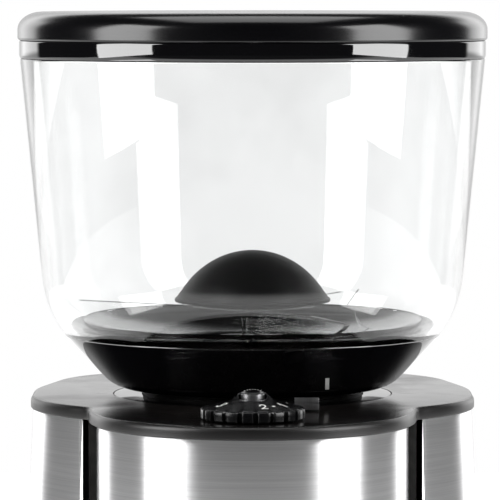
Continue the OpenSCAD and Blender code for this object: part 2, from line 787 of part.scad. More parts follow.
module chute_form(grow, past) {
    hull() {
        block([-chute_port - grow, -chute_face - 1 - past, chamber_cavity_z - grow],
            [chute_port + grow, -chute_face + past, chamber_cavity_z + chute_port + grow]);
        translate([0, -spout_reach, column_z + collar_h - past])
            cylinder(r = spout_r + grow, h = 2 + past, $fn = 48);
    }
}

collar_h = 8;

module chute() {
    color([0.2, 0.2, 0.2]) at_burr() difference() {
        intersection() {
            chute_form(chute_wall, 0);
            block([-chamber_r, -spout_reach - 2 * spout_r, column_z + collar_h], [chamber_r, -chute_face, chamber_top]);
        }
        chute_form(0, 1);
    }
}

// ---------- Housing ----------
module rounded_disc(r) {
    rotate_extrude($fn = 64) polygon(concat([[0, 0]], [[r - 0.8, 0], [r, 0.8]],
        arc([r - plate_round, plate_t - plate_round], plate_round, 0, 90, 4), [[0, plate_t]]));
}

bush_hole_r = bush_r;
screw_head_r = 2.7;
screw_head_t = 1.9;
screw_r = 2;
base_head_r = 4;
base_head_t = 3;
pillar_back_x = 42;
pillar_back_y = 60;
pillar_places = [[-pillar_x, 0], [pillar_x, 0], [-pillar_back_x, pillar_back_y], [pillar_back_x, pillar_back_y]];

module top_plate() {
    color(satin_black) at_burr() difference() {
        translate([0, 0, plate_z]) {
            hull() for (side = [-1, 1]) {
                translate([side * side_x, -side_front, 0]) rounded_disc(side_r);
                translate([side * side_x, side_rear, 0]) rounded_disc(side_r);
                translate([side * corner_x, corner_back, 0]) rounded_disc(corner_r);
            }
            hull() {
                translate([0, -lobe_reach, 0]) rounded_disc(lobe_r);
                translate([0, -lobe_side_reach, 0]) rounded_disc(lobe_side_r);
            }
        }
        translate([0, 0, top_z - trim_t]) cylinder(r = trim_r, h = trim_t + 1);
        translate([0, 0, plate_z - 1]) cylinder(r = collar_r + 3, h = plate_t + 2);
        translate([0, -dial_reach, plate_z - 1]) cylinder(r = bush_hole_r, h = plate_t + 2);
        for (p = pillar_places) translate([p[0], p[1], plate_z]) {
            translate([0, 0, -1]) cylinder(r = screw_r, h = plate_t + 2, $fn = 24);
            translate([0, 0, plate_t - screw_head_t - 0.1]) cylinder(r = screw_head_r, h = 3, $fn = 32);
        }
    }
}

module trim_ring() {
    color(gloss_black) at_burr() tube(trim_r - seat_gap, collar_r + run_gap, top_z - trim_t, top_z);
}

module pillar_screws() {
    color(dark_steel) at_burr() for (p = pillar_places) {
        translate([p[0], p[1], top_z - screw_head_t - 0.1]) cylinder(r = screw_head_r - 0.1, h = screw_head_t, $fn = 32);
        translate([p[0], p[1], plate_z]) cylinder(r = screw_r - fit_gap, h = plate_t - screw_head_t, $fn = 24);
        translate([p[0], p[1], base_z + 1]) cylinder(r = base_head_r - 0.1, h = base_head_t - 1, $fn = 24);
        translate([p[0], p[1], base_z + base_head_t - eps]) cylinder(r = screw_r - fit_gap, h = base_t - base_head_t + eps, $fn = 24);
    }
}

// One leaning side cover, on the +X side
module side_cover() {
    difference() {
        leaning_plan(cover_inset);
        translate([0, 0, -eps]) leaning_plan(cover_inset + sheet_t);
        block([-200, -200, 0], [cover_edge_x, 0, top_z + 1]);
        block([-200, -1, 0], [rear_half_w + seat_gap, 200, top_z + 1]);
        translate([0, 0, plate_z - eps]) cylinder(r = 200, h = 10);
    }
}

module side_cover_right() { color(steel) at_burr() side_cover(); }
module side_cover_left() { color(steel) at_burr() mirror([1, 0, 0]) side_cover(); }

vent_rows = 9;
vent_h = 3;
vent_pitch = 8;
vent_half_w = 24;
inlet_rise = 32;
inlet_z = cover_z + inlet_rise;
inlet_w = 27;
inlet_tall = 20;

module rear_cover() {
    color(satin_black) at_burr() difference() {
        intersection() {
            difference() {
                leaning_plan(cover_inset);
                translate([0, 0, -eps]) leaning_plan(cover_inset + sheet_t + 0.8);
            }
            block([-rear_half_w, 20, cover_z], [rear_half_w, 200, plate_z - 2 * eps]);
        }
        for (i = [0:vent_rows - 1])
            block([-vent_half_w, corner_back, deck_z - 20 - i * vent_pitch],
                [vent_half_w, 200, deck_z - 20 - i * vent_pitch + vent_h]);
        block([-inlet_w / 2 - slip_gap, corner_back, inlet_z - inlet_tall / 2 - slip_gap],
            [inlet_w / 2 + slip_gap, 200, inlet_z + inlet_tall / 2 + slip_gap]);
    }
}

rear_face = corner_back + corner_r - cover_inset;
inlet_depth = 24;
inlet_well = 16;
inlet_wall = 1.6;
inlet_flange_w = 3;
pin_pitch = 7;

module mains_inlet() {
    color(satin_black) at_burr() difference() {
        union() {
            block([-inlet_w / 2, rear_face - inlet_depth, inlet_z - inlet_tall / 2],
                [inlet_w / 2, rear_face, inlet_z + inlet_tall / 2]);
            block([-inlet_w / 2 - inlet_flange_w, rear_face, inlet_z - inlet_tall / 2 - inlet_flange_w],
                [inlet_w / 2 + inlet_flange_w, rear_face + inlet_flange_t, inlet_z + inlet_tall / 2 + inlet_flange_w]);
        }
        block([-inlet_w / 2 + inlet_wall, rear_face - inlet_well, inlet_z - inlet_tall / 2 + inlet_wall],
            [inlet_w / 2 - inlet_wall, rear_face + 2 * inlet_flange_t, inlet_z + inlet_tall / 2 - inlet_wall]);
    }
    color(brass) at_burr() for (x = [-pin_pitch, 0, pin_pitch])
        block([x - 1, rear_face - inlet_well - 1, inlet_z - (x == 0 ? -1 : 3)], [x + 1, rear_face - 4, inlet_z + (x == 0 ? 5 : 1)]);
}

module front_column() {
    color(steel) at_burr() translate([0, 0, column_z]) linear_extrude(height = column_h) difference() {
        column_plan(0);
        column_plan(sheet_t);
        translate([-column_r + sheet_t, -panel_reach - 1]) square([2 * (column_r - sheet_t), 2]);
    }
}

window_half_w = 49;

module front_panel() {
    color(satin_black) at_burr() difference() {
        block([-panel_half_w, -panel_reach, cover_z], [panel_half_w, -panel_back, plate_z]);
        block([-window_half_w, -panel_reach - 1, column_z + 6], [window_half_w, -panel_back + 1, plate_z + 1]);
        translate([-control_x, -panel_back + 1, control_z]) rotate([90, 0, 0])
            cylinder(r = button_r + slip_gap, h = panel_t + 2);
        block([control_x - rocker_w / 2 - 1.5, -panel_reach - 1, control_z - rocker_h / 2 - 1.5],
            [control_x + rocker_w / 2 + 1.5, -panel_back + 1, control_z + rocker_h / 2 + 1.5]);
        for (side = [-1, 1]) translate([side * fork_screw_x, -panel_back + 1, fork_z - fork_screw_drop]) rotate([90, 0, 0])
            cylinder(r = 2, h = panel_t + 2, $fn = 24);
    }
}

housing_t = 3;

module spout_housing() {
    color(satin_black) at_burr() difference() {
        union() {
            translate([0, 0, column_z - housing_t]) linear_extrude(height = housing_t) column_plan(-0.4);
            translate([0, 0, column_z]) linear_extrude(height = 4) difference() {
                column_plan(sheet_t + slip_gap);
                column_plan(sheet_t + 2);
            }
            translate([0, -spout_reach, column_z]) cylinder(r = spout_r + chute_wall, h = collar_h);
            translate([0, -spout_reach, spout_z])
                cylinder(r1 = spout_r - 1, r2 = spout_r + 3, h = spout_drop - housing_t + eps);
        }
        translate([0, -spout_reach, column_z - housing_t]) cylinder(r = spout_r, h = collar_h + housing_t + 1);
        translate([0, -spout_reach, spout_z - 1])
            cylinder(r1 = spout_r - 3.2, r2 = spout_r, h = spout_drop - housing_t + 1 + eps);
    }
}

fork_half_w = fork_slot_r + prong_w;
fork_screw_x = 26;
fork_screw_drop = 7;
fork_back_h = 14;
fork_back_t = 2;
fork_screw_r = 1.95;
fork_screw_l = 8;
fork_head_r = 3.6;
fork_head_h = 2.2;
fork_past_spout = 16;
fork_tip = spout_reach + fork_past_spout;

module portafilter_fork() {
    color(steel) at_burr() difference() {
        union() {
            translate([0, 0, fork_z]) linear_extrude(height = fork_t) {
                translate([-fork_half_w, -fork_tip + prong_w / 2])
                    square([2 * fork_half_w, fork_tip - prong_w / 2 - panel_reach]);
                for (side = [-1, 1]) translate([side * (fork_slot_r + prong_w / 2), -fork_tip + prong_w / 2])
                    circle(r = prong_w / 2, $fn = 32);
            }
            block([-fork_half_w + 4, -panel_reach - fork_back_t, fork_z - fork_back_h], [fork_half_w - 4, -panel_reach, fork_z + eps]);
        }
        translate([0, -spout_reach, fork_z - 1]) cylinder(r = fork_slot_r, h = fork_t + 2);
        block([-fork_slot_r, -fork_tip - 10, fork_z - 1], [fork_slot_r, -spout_reach, fork_z + fork_t + 1]);
        for (side = [-1, 1]) translate([side * fork_screw_x, -panel_reach + 1, fork_z - fork_screw_drop]) rotate([90, 0, 0])
            cylinder(r = fork_screw_r + 0.05, h = fork_back_t + 3, $fn = 24);
    }
}

module fork_screws() {
    color(dark_steel) at_burr() for (side = [-1, 1])
        translate([side * fork_screw_x, -panel_reach - fork_back_t, fork_z - fork_screw_drop]) rotate([90, 0, 0]) {
            difference() {
                cylinder(r = fork_head_r, h = fork_head_h);
                translate([0, 0, fork_head_h - 1.2]) cylinder(r = 1.6, h = 2, $fn = 6);
            }
            translate([0, 0, -fork_screw_l]) cylinder(r = fork_screw_r, h = fork_screw_l + eps, $fn = 24);
        }
}

module base_plate() {
    color(satin_black) at_burr() difference() {
        translate([0, 0, base_z]) linear_extrude(height = base_t) {
            scale([spread, 1]) main_plan(cover_inset);
            tray_plan(0, 0);
        }
        for (p = pillar_places) translate([p[0], p[1], base_z - 1]) {
            cylinder(r = screw_r, h = base_t + 2, $fn = 24);
            cylinder(r = base_head_r, h = base_head_t + 1, $fn = 24);
        }
    }
}

foot_places = [[-62, 40], [62, 40], [-40, -tray_reach - 10], [40, -tray_reach - 10]];

module feet() {
    color(rubber) at_burr() for (p = foot_places) translate([p[0], p[1], 0]) {
        translate([0, 0, 1.5]) cylinder(r = foot_r, h = foot_h - 1.5);
        cylinder(r1 = foot_r - 1.5, r2 = foot_r, h = 1.5 + eps);
    }
}

tray_z = cover_z;
tray_back = panel_reach + 4;
tray_gap = 2;

module tray() {
    color(satin_black) at_burr() translate([0, 0, tray_z]) difference() {
        linear_extrude(height = tray_h) tray_plan(tray_gap, tray_back);
        translate([0, 0, tray_wall]) linear_extrude(height = tray_h)
            tray_plan(tray_gap + tray_wall, tray_back + tray_wall);
    }
}

grille_ledge = 1.2;

module tray_grille() {
    bar_pitch = 8;
    slot_w = 5;
    grille_r = base_lobe_r - tray_gap - tray_wall - slip_gap;
    color(steel) at_burr() translate([0, 0, tray_z + tray_h - grille_t]) {
        difference() {
            linear_extrude(height = grille_t) tray_plan(base_lobe_r - grille_r, tray_back + tray_wall + slip_gap);
            for (i = [-5:5]) let (x = i * bar_pitch, y = sqrt(pow(grille_r - 5, 2) - pow(abs(x) + slot_w / 2, 2)))
                block([x - slot_w / 2, -tray_reach - y, -1], [x + slot_w / 2, -tray_back - 9, grille_t + 1]);
        }
        for (p = [[-30, -tray_reach - 30], [30, -tray_reach - 30], [-44, -tray_back - 6], [44, -tray_back - 6]])
            translate([p[0], p[1], tray_wall - tray_h + grille_t]) cylinder(r = 2.5, h = tray_h - tray_wall - grille_t + eps, $fn = 24);
    }
}

// ---------- Chassis and motor ----------
bell_up_h = 7;
stator_z = deck_z - bell_up_h - stator_h;
bell_low_h = 17;
bell_low_z = stator_z - bell_low_h;
lower_bearing_z = bell_low_z + 2;
fan_h = 12;
fan_z = bell_low_z - 4 - fan_h;
shaft_low_z = fan_z - 3;
winding_r = stator_r - 8;
rotor_r = winding_r - winding_w - 2;
fan_r = winding_r;
bolt_r = 2;
bolt_ring = stator_r - 4;
bolt_head_t = 3;

module at_bolts() { for (a = [45, 135, 225, 315]) rotate([0, 0, a]) translate([bolt_ring, 0, 0]) children(); }

module chassis_deck() {
    color(dark_steel) at_burr() difference() {
        translate([0, 0, deck_z]) linear_extrude(height = deck_t) intersection() {
            main_plan(cover_inset + sheet_t + 2);
            translate([-150, -panel_back]) square([300, 300]);
        }
        translate([0, 0, deck_z - 1]) cylinder(r = shaft_r + 4, h = deck_t + 2);
        translate([0, 0, deck_z - 1]) at_bolts() cylinder(r = bolt_r, h = deck_t + 2, $fn = 24);
        for (p = chamber_bolts) translate([p[0], p[1], deck_z - 1])
            cylinder(r = chamber_bolt_r, h = deck_t + 2, $fn = 24);
    }
}

module pillars() {
    color(steel) at_burr() for (p = pillar_places) translate([p[0], p[1], 0]) {
        translate([0, 0, cover_z]) cylinder(r = pillar_r, h = deck_z - cover_z);
        translate([0, 0, deck_top]) cylinder(r = pillar_r, h = plate_z - deck_top);
    }
}

module upper_bearing() {
    color(steel) at_burr() tube(bearing_r, shaft_r + fit_gap, deck_top, deck_top + bearing_w);
}

module lower_bearing() {
    color(steel) at_burr() tube(bearing_r - 2, shaft_r + fit_gap, lower_bearing_z, lower_bearing_z + bearing_w);
}

module motor_stator() {
    color([0.35, 0.36, 0.38]) at_burr() translate([0, 0, stator_z]) difference() {
        cylinder(r = stator_r, h = stator_h);
        translate([0, 0, -1]) cylinder(r = rotor_r + air_gap, h = stator_h + 2);
        translate([0, 0, -1]) at_bolts() cylinder(r = bolt_r, h = stator_h + 2, $fn = 24);
    }
}

winding_h = 5;

module motor_windings() {
    color(copper) at_burr() for (z = [stator_z - winding_h, stator_z + stator_h]) {
        tube(winding_r, rotor_r + 2, z, z + winding_h);
    }
}

module motor_upper_bell() {
    color([0.6, 0.6, 0.62]) at_burr() difference() {
        tube(stator_r, winding_r + 0.5, stator_z + stator_h, deck_z);
        translate([0, 0, stator_z + stator_h - 1]) at_bolts() cylinder(r = bolt_r, h = bell_up_h + 2, $fn = 24);
    }
}

module motor_lower_bell() {
    color([0.6, 0.6, 0.62]) at_burr() difference() {
        translate([0, 0, bell_low_z]) cylinder(r = stator_r, h = bell_low_h);
        translate([0, 0, lower_bearing_z + bearing_w - 1]) cylinder(r = winding_r + 0.5, h = bell_low_h);
        translate([0, 0, lower_bearing_z]) cylinder(r = bearing_r - 2, h = bell_low_h);
        translate([0, 0, bell_low_z - 1]) cylinder(r = shaft_r + 2, h = bell_low_h);
        translate([0, 0, bell_low_z - 1]) at_bolts() cylinder(r = bolt_r, h = bell_low_h + 2, $fn = 24);
    }
}

// Four long bolts through the motor into the deck, and four short ones up into the chamber
module drive_bolts() {
    color(dark_steel) at_burr() {
        at_bolts() {
            translate([0, 0, bell_low_z - bolt_head_t]) cylinder(r = bolt_r + 1.5, h = bolt_head_t, $fn = 6);
            translate([0, 0, bell_low_z - eps]) cylinder(r = bolt_r - fit_gap, h = deck_top - bell_low_z, $fn = 24);
        }
        for (p = chamber_bolts) translate([p[0], p[1], deck_top]) {
            translate([0, 0, -deck_t]) cylinder(r = chamber_bolt_r - fit_gap, h = deck_t + chamber_bolt_depth - 0.5, $fn = 24);
        }
    }
}

module motor_shaft() {
    color(steel) at_burr() {
        translate([0, 0, shaft_low_z]) cylinder(r = shaft_r, h = shaft_end_z - shaft_low_z);
        translate([0, 0, shaft_end_z - eps]) cylinder(r = shaft_r - 2.5, h = nut_h + 1);
    }
}

module rotor_core() {
    color([0.45, 0.46, 0.48]) at_burr() tube(rotor_r, shaft_r, stator_z, stator_z + stator_h);
}

module cooling_fan() {
    color([0.15, 0.15, 0.15]) at_burr() {
        tube(shaft_r + 4, shaft_r, fan_z, fan_z + fan_h);
        tube(fan_r, shaft_r, fan_z + fan_h - 1.6, fan_z + fan_h);
        for (k = [0:7]) rotate([0, 0, 45 * k])
            block([shaft_r + 3, -0.8, fan_z + 1], [fan_r - 0.5, 0.8, fan_z + fan_h]);
    }
}

// ---------- Electrical pieces and controls ----------
capacitor_r = 14;
capacitor_h = 50;
capacitor_place = [-58, 24];

module run_capacitor() {
    color([0.85, 0.85, 0.82]) at_burr() translate([capacitor_place[0], capacitor_place[1], cover_z]) {
        difference() {
            cylinder(r = capacitor_r + 1.2, h = 10);
            translate([0, 0, 1]) cylinder(r = capacitor_r, h = 12);
        }
        translate([0, 0, 1 - eps]) cylinder(r = capacitor_r, h = capacitor_h);
        for (x = [-4, 4]) block([x - 0.4, -3, capacitor_h], [x + 0.4, 3, capacitor_h + 8]);
    }
}

button_proud = 7;
button_flange = 1.5;
button_flange_t = 1.6;

module at_button() { at_burr() translate([-control_x, -panel_reach, control_z]) rotate([90, 0, 0]) children(); }

module start_button() {
    color(gloss_black) at_button() {
        translate([0, 0, -panel_t - button_flange_t]) cylinder(r = button_r, h = panel_t + button_flange_t + button_proud - 1);
        translate([0, 0, button_proud - 1 - eps]) cylinder(r1 = button_r, r2 = button_r - 1, h = 1);
        translate([0, 0, -panel_t - button_flange_t]) cylinder(r = button_r + button_flange, h = button_flange_t);
    }
}

switch_gap = button_travel + 1;
switch_depth = 10;
spring_room = switch_gap;
plunger_z = -panel_t - button_flange_t;

module coil(r, wire_r, z0, z1, turns) {
    steps = 14;
    for (i = [0:turns * steps - 1]) {
        a = 360 * i / steps;
        b = 360 * (i + 1) / steps;
        za = z0 + (z1 - z0) * i / (turns * steps);
        zb = z0 + (z1 - z0) * (i + 1) / (turns * steps);
        hull() {
            translate([r * cos(a), r * sin(a), za]) sphere(r = wire_r, $fn = 6);
            translate([r * cos(b), r * sin(b), zb]) sphere(r = wire_r, $fn = 6);
        }
    }
}

module button_spring() {
    color(steel) at_button() coil(button_r - 2, 0.45, plunger_z - spring_room + 0.5, plunger_z - 0.5, 3);
}

module start_switch() {
    color([0.15, 0.15, 0.16]) at_button() {
        difference() {
            translate([-button_r - 4, -button_r - 2, plunger_z - spring_room - switch_depth])
                cube([2 * button_r + 8, 2 * button_r + 4, switch_depth]);
            for (x = [-button_r - 1.5, button_r + 1.5]) translate([x, 0, plunger_z - spring_room - switch_depth - 1])
                cylinder(r = 1.2, h = 3, $fn = 24);
        }
        translate([0, 0, plunger_z - spring_room - eps]) cylinder(r = 2, h = 0.6);
        for (s = [-1, 1]) translate([-button_r - 4, s * (button_r + 3) - 1, plunger_z - spring_room - switch_depth])
            cube([2 * button_r + 8, 2, switch_depth + spring_room + button_flange_t]);
    }
}

rocker_t = 5;
rocker_pivot = 1;

module at_rocker() { at_burr() translate([control_x, -panel_reach, control_z]) rotate([90, 0, 0]) children(); }

module power_rocker() {
    color(gloss_black) at_rocker() translate([0, 0, rocker_pivot]) rotate([rocker_tilt, 0, 0]) {
        intersection() {
            rotate([0, 90, 0]) translate([0, 0, -rocker_w / 2]) linear_extrude(height = rocker_w) difference() {
                translate([-rocker_t, -rocker_h / 2 + 0.8]) square([rocker_t + 1, rocker_h - 1.6]);
                translate([-rocker_t - 26.6, 0]) circle(r = 28);
            }
            translate([-50, -50, -1]) cube([100, 100, 20]);
        }
        rotate([0, 90, 0]) translate([0, 0, -rocker_w / 2 - 0.9]) cylinder(r = 1.2, h = rocker_w + 1.8);
    }
}

module rocker_switch_body() {
    bezel = 3;
    depth = 16;
    wall = 1.2;
    color(satin_black) at_rocker() difference() {
        union() {
            translate([-rocker_w / 2 - bezel, -rocker_h / 2 - bezel, 0]) cube([rocker_w + 2 * bezel, rocker_h + 2 * bezel, 1.8]);
            translate([-rocker_w / 2 - wall, -rocker_h / 2 - wall, -depth]) cube([rocker_w + 2 * wall, rocker_h + 2 * wall, depth + eps]);
        }
        translate([-rocker_w / 2 - 0.2, -rocker_h / 2, -4]) cube([rocker_w + 0.4, rocker_h, 10]);
        rotate([0, 90, 0]) translate([-rocker_pivot, 0, -rocker_w / 2 - 1]) cylinder(r = 1.2 + fit_gap, h = rocker_w + 2);
    }
}

lid();
lid_seal();
hopper_shell();
hopper_band();
hopper_bowl();
bean_guard();
finger_guard_dome();
hopper_seal();
grind_dial();
dial_screw();
dial_shaft();
dial_pinion();
idler_gear();
adjusting_ring();
ring_gear();
upper_burr();
upper_burr_screws();
lower_burr();
lower_burr_screws();
burr_carrier();
carrier_nut();
motor_shaft();
rotor_core();
cooling_fan();
start_button();
button_spring();
power_rocker();
tray();
tray_grille();
top_plate();
trim_ring();
pillar_screws();
dial_bush();
dial_pointer();
gear_bracket();
side_cover_left();
side_cover_right();
front_column();
front_panel();
rear_cover();
spout_housing();
chute();
portafilter_fork();
fork_screws();
base_plate();
feet();
chassis_deck();
pillars();
grinding_chamber();
upper_bearing();
lower_bearing();
motor_stator();
motor_windings();
motor_upper_bell();
motor_lower_bell();
drive_bolts();
run_capacitor();
mains_inlet();
rocker_switch_body();
start_switch();
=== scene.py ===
# A burr coffee grinder with a clear bean hopper, a geared grind dial and brushed side covers.
# Metres, +Z up, the front faces -Y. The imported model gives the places; the outer pieces are turned,
# folded or cut here as the real ones are, and the other nodes keep their meshes.
import json
from math import acos, atan2, cos, degrees, pi, radians, sin, sqrt, tan

import bmesh
import bpy
from mathutils import Matrix, Vector
from mathutils.geometry import intersect_sphere_sphere_2d


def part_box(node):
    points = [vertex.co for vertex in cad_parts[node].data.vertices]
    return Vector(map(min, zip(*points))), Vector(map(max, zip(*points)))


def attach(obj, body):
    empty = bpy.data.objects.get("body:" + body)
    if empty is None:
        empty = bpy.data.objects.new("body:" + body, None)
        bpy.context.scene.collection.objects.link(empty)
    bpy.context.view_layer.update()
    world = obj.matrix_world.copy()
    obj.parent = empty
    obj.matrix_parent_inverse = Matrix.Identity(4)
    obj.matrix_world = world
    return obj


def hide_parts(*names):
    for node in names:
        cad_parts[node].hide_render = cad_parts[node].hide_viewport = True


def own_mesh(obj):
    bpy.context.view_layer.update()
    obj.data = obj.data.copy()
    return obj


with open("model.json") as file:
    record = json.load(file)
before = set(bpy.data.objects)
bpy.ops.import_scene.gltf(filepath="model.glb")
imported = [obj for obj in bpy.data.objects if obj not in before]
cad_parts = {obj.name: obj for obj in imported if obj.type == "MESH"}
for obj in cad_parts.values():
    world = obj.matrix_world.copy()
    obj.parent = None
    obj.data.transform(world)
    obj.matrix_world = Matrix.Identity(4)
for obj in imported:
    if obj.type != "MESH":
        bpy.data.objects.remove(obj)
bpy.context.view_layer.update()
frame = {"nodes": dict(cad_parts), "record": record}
mm = 0.001
touching = 0.002 * mm
slot_of = {part["node"]: part["material_slot"] for part in frame["record"]["subparts"]}
body_of = {node: body for body, nodes in frame["record"]["behaviour"]["bodies"].items() for node in nodes}


# ---------- Places and sizes ----------

def middle(node):
    """The middle of a node's box."""
    low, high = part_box(node)
    return (low + high) / 2


def half_width(node):
    """Half the sideways width of a node."""
    low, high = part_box(node)
    return (high.x - low.x) / 2


burr_y = middle("trim_ring").y
dial_y = middle("dial_screw").y
plate_low, plate_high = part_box("top_plate")
plate_z = plate_low.z
plate_top = plate_high.z
cover_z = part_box("side_cover_left")[0].z
shell_z, shell_top = (corner.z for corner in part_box("hopper_shell"))
band_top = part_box("hopper_band")[1].z
lid_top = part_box("lid")[1].z
burr_axis = Vector((0, burr_y, 0))
dial_axis = Vector((0, dial_y, 0))


def from_axis(x, reach):
    """A plan point given by its place from the burr axis, reach being towards the front."""
    return Vector((x, burr_y - reach))


# ---------- Shaping ----------

def bent(start, corner, end, shares):
    """Points of a short curve from start to end that leans towards a corner."""
    return [(1 - t) ** 2 * start + 2 * t * (1 - t) * corner + t * t * end for t in shares]


def eased(outline, radius, sharpest=25):
    """The closed outline with each sharp corner turned into a short curve."""
    points = [Vector(point) for point in outline]
    rounded = []
    for i, corner in enumerate(points):
        before = points[i - 1] - corner
        after = points[(i + 1) % len(points)] - corner
        if pi - before.angle(after) < radians(sharpest):
            rounded.append(corner)
            continue
        reach = min(radius, 0.45 * before.length, 0.45 * after.length)
        start = corner + reach * before.normalized()
        end = corner + reach * after.normalized()
        rounded += bent(start, corner, end, (0, 0.25, 0.5, 0.75, 1))
    return rounded


def arc(centre, radius, start, end, steps=12):
    """Points of an arc from one angle to another, in degrees."""
    angles = [radians(start + (end - start) * i / steps) for i in range(steps + 1)]
    return [Vector(centre) + radius * Vector((cos(a), sin(a))) for a in angles]


def oblong(inner, outer, low, high):
    """The section of a plain ring or disc, by its radii and heights."""
    return [(inner, low), (outer, low), (outer, high), (inner, high)]


def turned(outline, centre=burr_axis, turns=144):
    """A closed outline of radius and height points spun round an upright axis."""
    shape = bmesh.new()
    points = [shape.verts.new((max(radius, 0), 0, height)) for radius, height in outline]
    for here, there in zip(points, points[1:] + points[:1]):
        if max(here.co.x, there.co.x) > touching:
            shape.edges.new((here, there))
    bmesh.ops.spin(shape, geom=shape.verts[:] + shape.edges[:], cent=(0, 0, 0), axis=(0, 0, 1),
                   angle=2 * pi, steps=turns, use_merge=True)
    bmesh.ops.remove_doubles(shape, verts=shape.verts[:], dist=touching)
    bmesh.ops.recalc_face_normals(shape, faces=shape.faces[:])
    bmesh.ops.translate(shape, verts=shape.verts[:], vec=centre)
    return shape


def pulled(corners, way):
    """A flat outline of corners pulled out into a solid."""
    shape = bmesh.new()
    face = shape.faces.new([shape.verts.new(corner) for corner in corners])
    lifted = bmesh.ops.extrude_face_region(shape, geom=[face])["geom"]
    moved = [part for part in lifted if isinstance(part, bmesh.types.BMVert)]
    bmesh.ops.translate(shape, verts=moved, vec=way)
    bmesh.ops.recalc_face_normals(shape, faces=shape.faces[:])
    return shape


def raised(outline, low, high, top_ease=0.0, foot_ease=0.0, steps=3):
    """A plan outline filled and raised from one height to another, its rims rounded."""
    shape = pulled([(point[0], point[1], low) for point in outline], (0, 0, high - low))
    for height, ease in ((high, top_ease), (low, foot_ease)):
        if ease:
            rim = [e for e in shape.edges if all(abs(v.co.z - height) < touching for v in e.verts)]
            round_edges(shape, rim, ease, steps)
    return shape


def round_edges(shape, edges, width, steps=2):
    """Edges rounded by a bevel."""
    bmesh.ops.bevel(shape, geom=edges, offset=width, offset_type="OFFSET", segments=steps, profile=0.5,
                    affect="EDGES", material=-1, clamp_overlap=True)


def sharp_edges(shape, sharpest=40):
    """The edges where two faces meet at a sharp angle."""
    return [e for e in shape.edges if len(e.link_faces) == 2 and e.calc_face_angle() > radians(sharpest)]


def block(low, high, ease=0.0, steps=2):
    """A box between two corners, with its edges rounded."""
    shape = bmesh.new()
    bmesh.ops.create_cube(shape, size=1)
    low, high = Vector(low), Vector(high)
    bmesh.ops.scale(shape, vec=high - low, verts=shape.verts[:])
    bmesh.ops.translate(shape, vec=(low + high) / 2, verts=shape.verts[:])
    if ease:
        round_edges(shape, shape.edges[:], ease, steps)
    return shape


def move(shape, matrix):
    """The whole shape moved by a matrix."""
    bmesh.ops.transform(shape, matrix=matrix, verts=shape.verts[:])
    return shape


def together(*shapes):
    """Several shapes as one, each still closed by itself."""
    whole = bmesh.new()
    for shape in shapes:
        mesh = bpy.data.meshes.new("part")
        shape.to_mesh(mesh)
        shape.free()
        whole.from_mesh(mesh)
        bpy.data.meshes.remove(mesh)
    return whole


def as_object(name, shape):
    """A mesh object made from a shape."""
    mesh = bpy.data.meshes.new(name)
    shape.to_mesh(mesh)
    shape.free()
    made = bpy.data.objects.new(name, mesh)
    bpy.context.scene.collection.objects.link(made)
    return made


def combine(shape, tools, how):
    """The shape combined with each tool by a Boolean modifier."""
    base = as_object("work", shape)
    helpers = [as_object("tool", tool) for tool in tools]
    for helper in helpers:
        step = base.modifiers.new("step", "BOOLEAN")
        step.operation = how
        step.solver = "EXACT"
        step.object = helper
    bpy.context.view_layer.update()
    result = bmesh.new()
    result.from_object(base, bpy.context.evaluated_depsgraph_get())
    for made in [base] + helpers:
        mesh = made.data
        bpy.data.objects.remove(made)
        bpy.data.meshes.remove(mesh)
    bmesh.ops.remove_doubles(result, verts=result.verts[:], dist=touching)
    bmesh.ops.dissolve_degenerate(result, dist=touching, edges=result.edges[:])
    return result


def cut(shape, *tools):
    """The shape with each tool taken out."""
    return combine(shape, tools, "DIFFERENCE")


def joined(shape, *tools):
    """The shape with each tool joined on."""
    return combine(shape, tools, "UNION")


def copy_of(node):
    """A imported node's own form as a shape, its doubles merged."""
    shape = bmesh.new()
    shape.from_mesh(frame["nodes"][node].data)
    bmesh.ops.remove_doubles(shape, verts=shape.verts[:], dist=touching)
    return shape


def rod(place, radius, low, high, turns=48):
    """An upright cylinder, mostly used to drill with."""
    return turned(oblong(0, radius, low, high), Vector((place[0], place[1], 0)), turns)


def show(name, shape, finish, nodes, crease=30):
    """A finished piece that stands for the nodes it names and moves with their body."""
    piece = as_object(name, shape)
    piece.data.shade_smooth()
    piece.data.set_sharp_from_angle(angle=radians(crease))
    piece.data.materials.append(finish)
    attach(piece, body_of[nodes[0]])
    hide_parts(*nodes)
    return piece


def spun(name, node, section, ease, finish, turns=144, sharpest=25):
    """A shown piece turned round the burr axis from a section with eased corners."""
    show(name, turned(eased(section, ease, sharpest), turns=turns), finish, [node])


# ---------- Finishes: effects shared by several materials ----------

def add(tree, kind, wires=None, **settings):
    """A node with its settings, its inputs given as values or as sockets to join."""
    node = tree.nodes.new(kind)
    for name, value in settings.items():
        setattr(node, name, value)
    for socket, value in (wires or {}).items():
        if isinstance(value, bpy.types.NodeSocket):
            tree.links.new(value, node.inputs[socket])
        else:
            node.inputs[socket].default_value = value
    return node


def sums(tree, operation, first, second, clamp=False):
    """The result of one sum on values or sockets."""
    return add(tree, "ShaderNodeMath", {0: first, 1: second}, operation=operation, use_clamp=clamp).outputs[0]


def blend(tree, mask, plain, marked):
    """A value that turns into another under a mask."""
    return add(tree, "ShaderNodeMix", {"Factor": mask, "A": plain, "B": marked}).outputs["Result"]


def vector_math(tree, operation, wires, result=0):
    """The result of one sum on vectors."""
    return add(tree, "ShaderNodeVectorMath", wires, operation=operation).outputs[result]


def between(tree, value, low, high, to_low=0.0, to_high=1.0):
    """A value stretched smoothly from one range to another."""
    wires = {"Value": value, "From Min": low, "From Max": high, "To Min": to_low, "To Max": to_high}
    return add(tree, "ShaderNodeMapRange", wires, interpolation_type="SMOOTHSTEP").outputs[0]


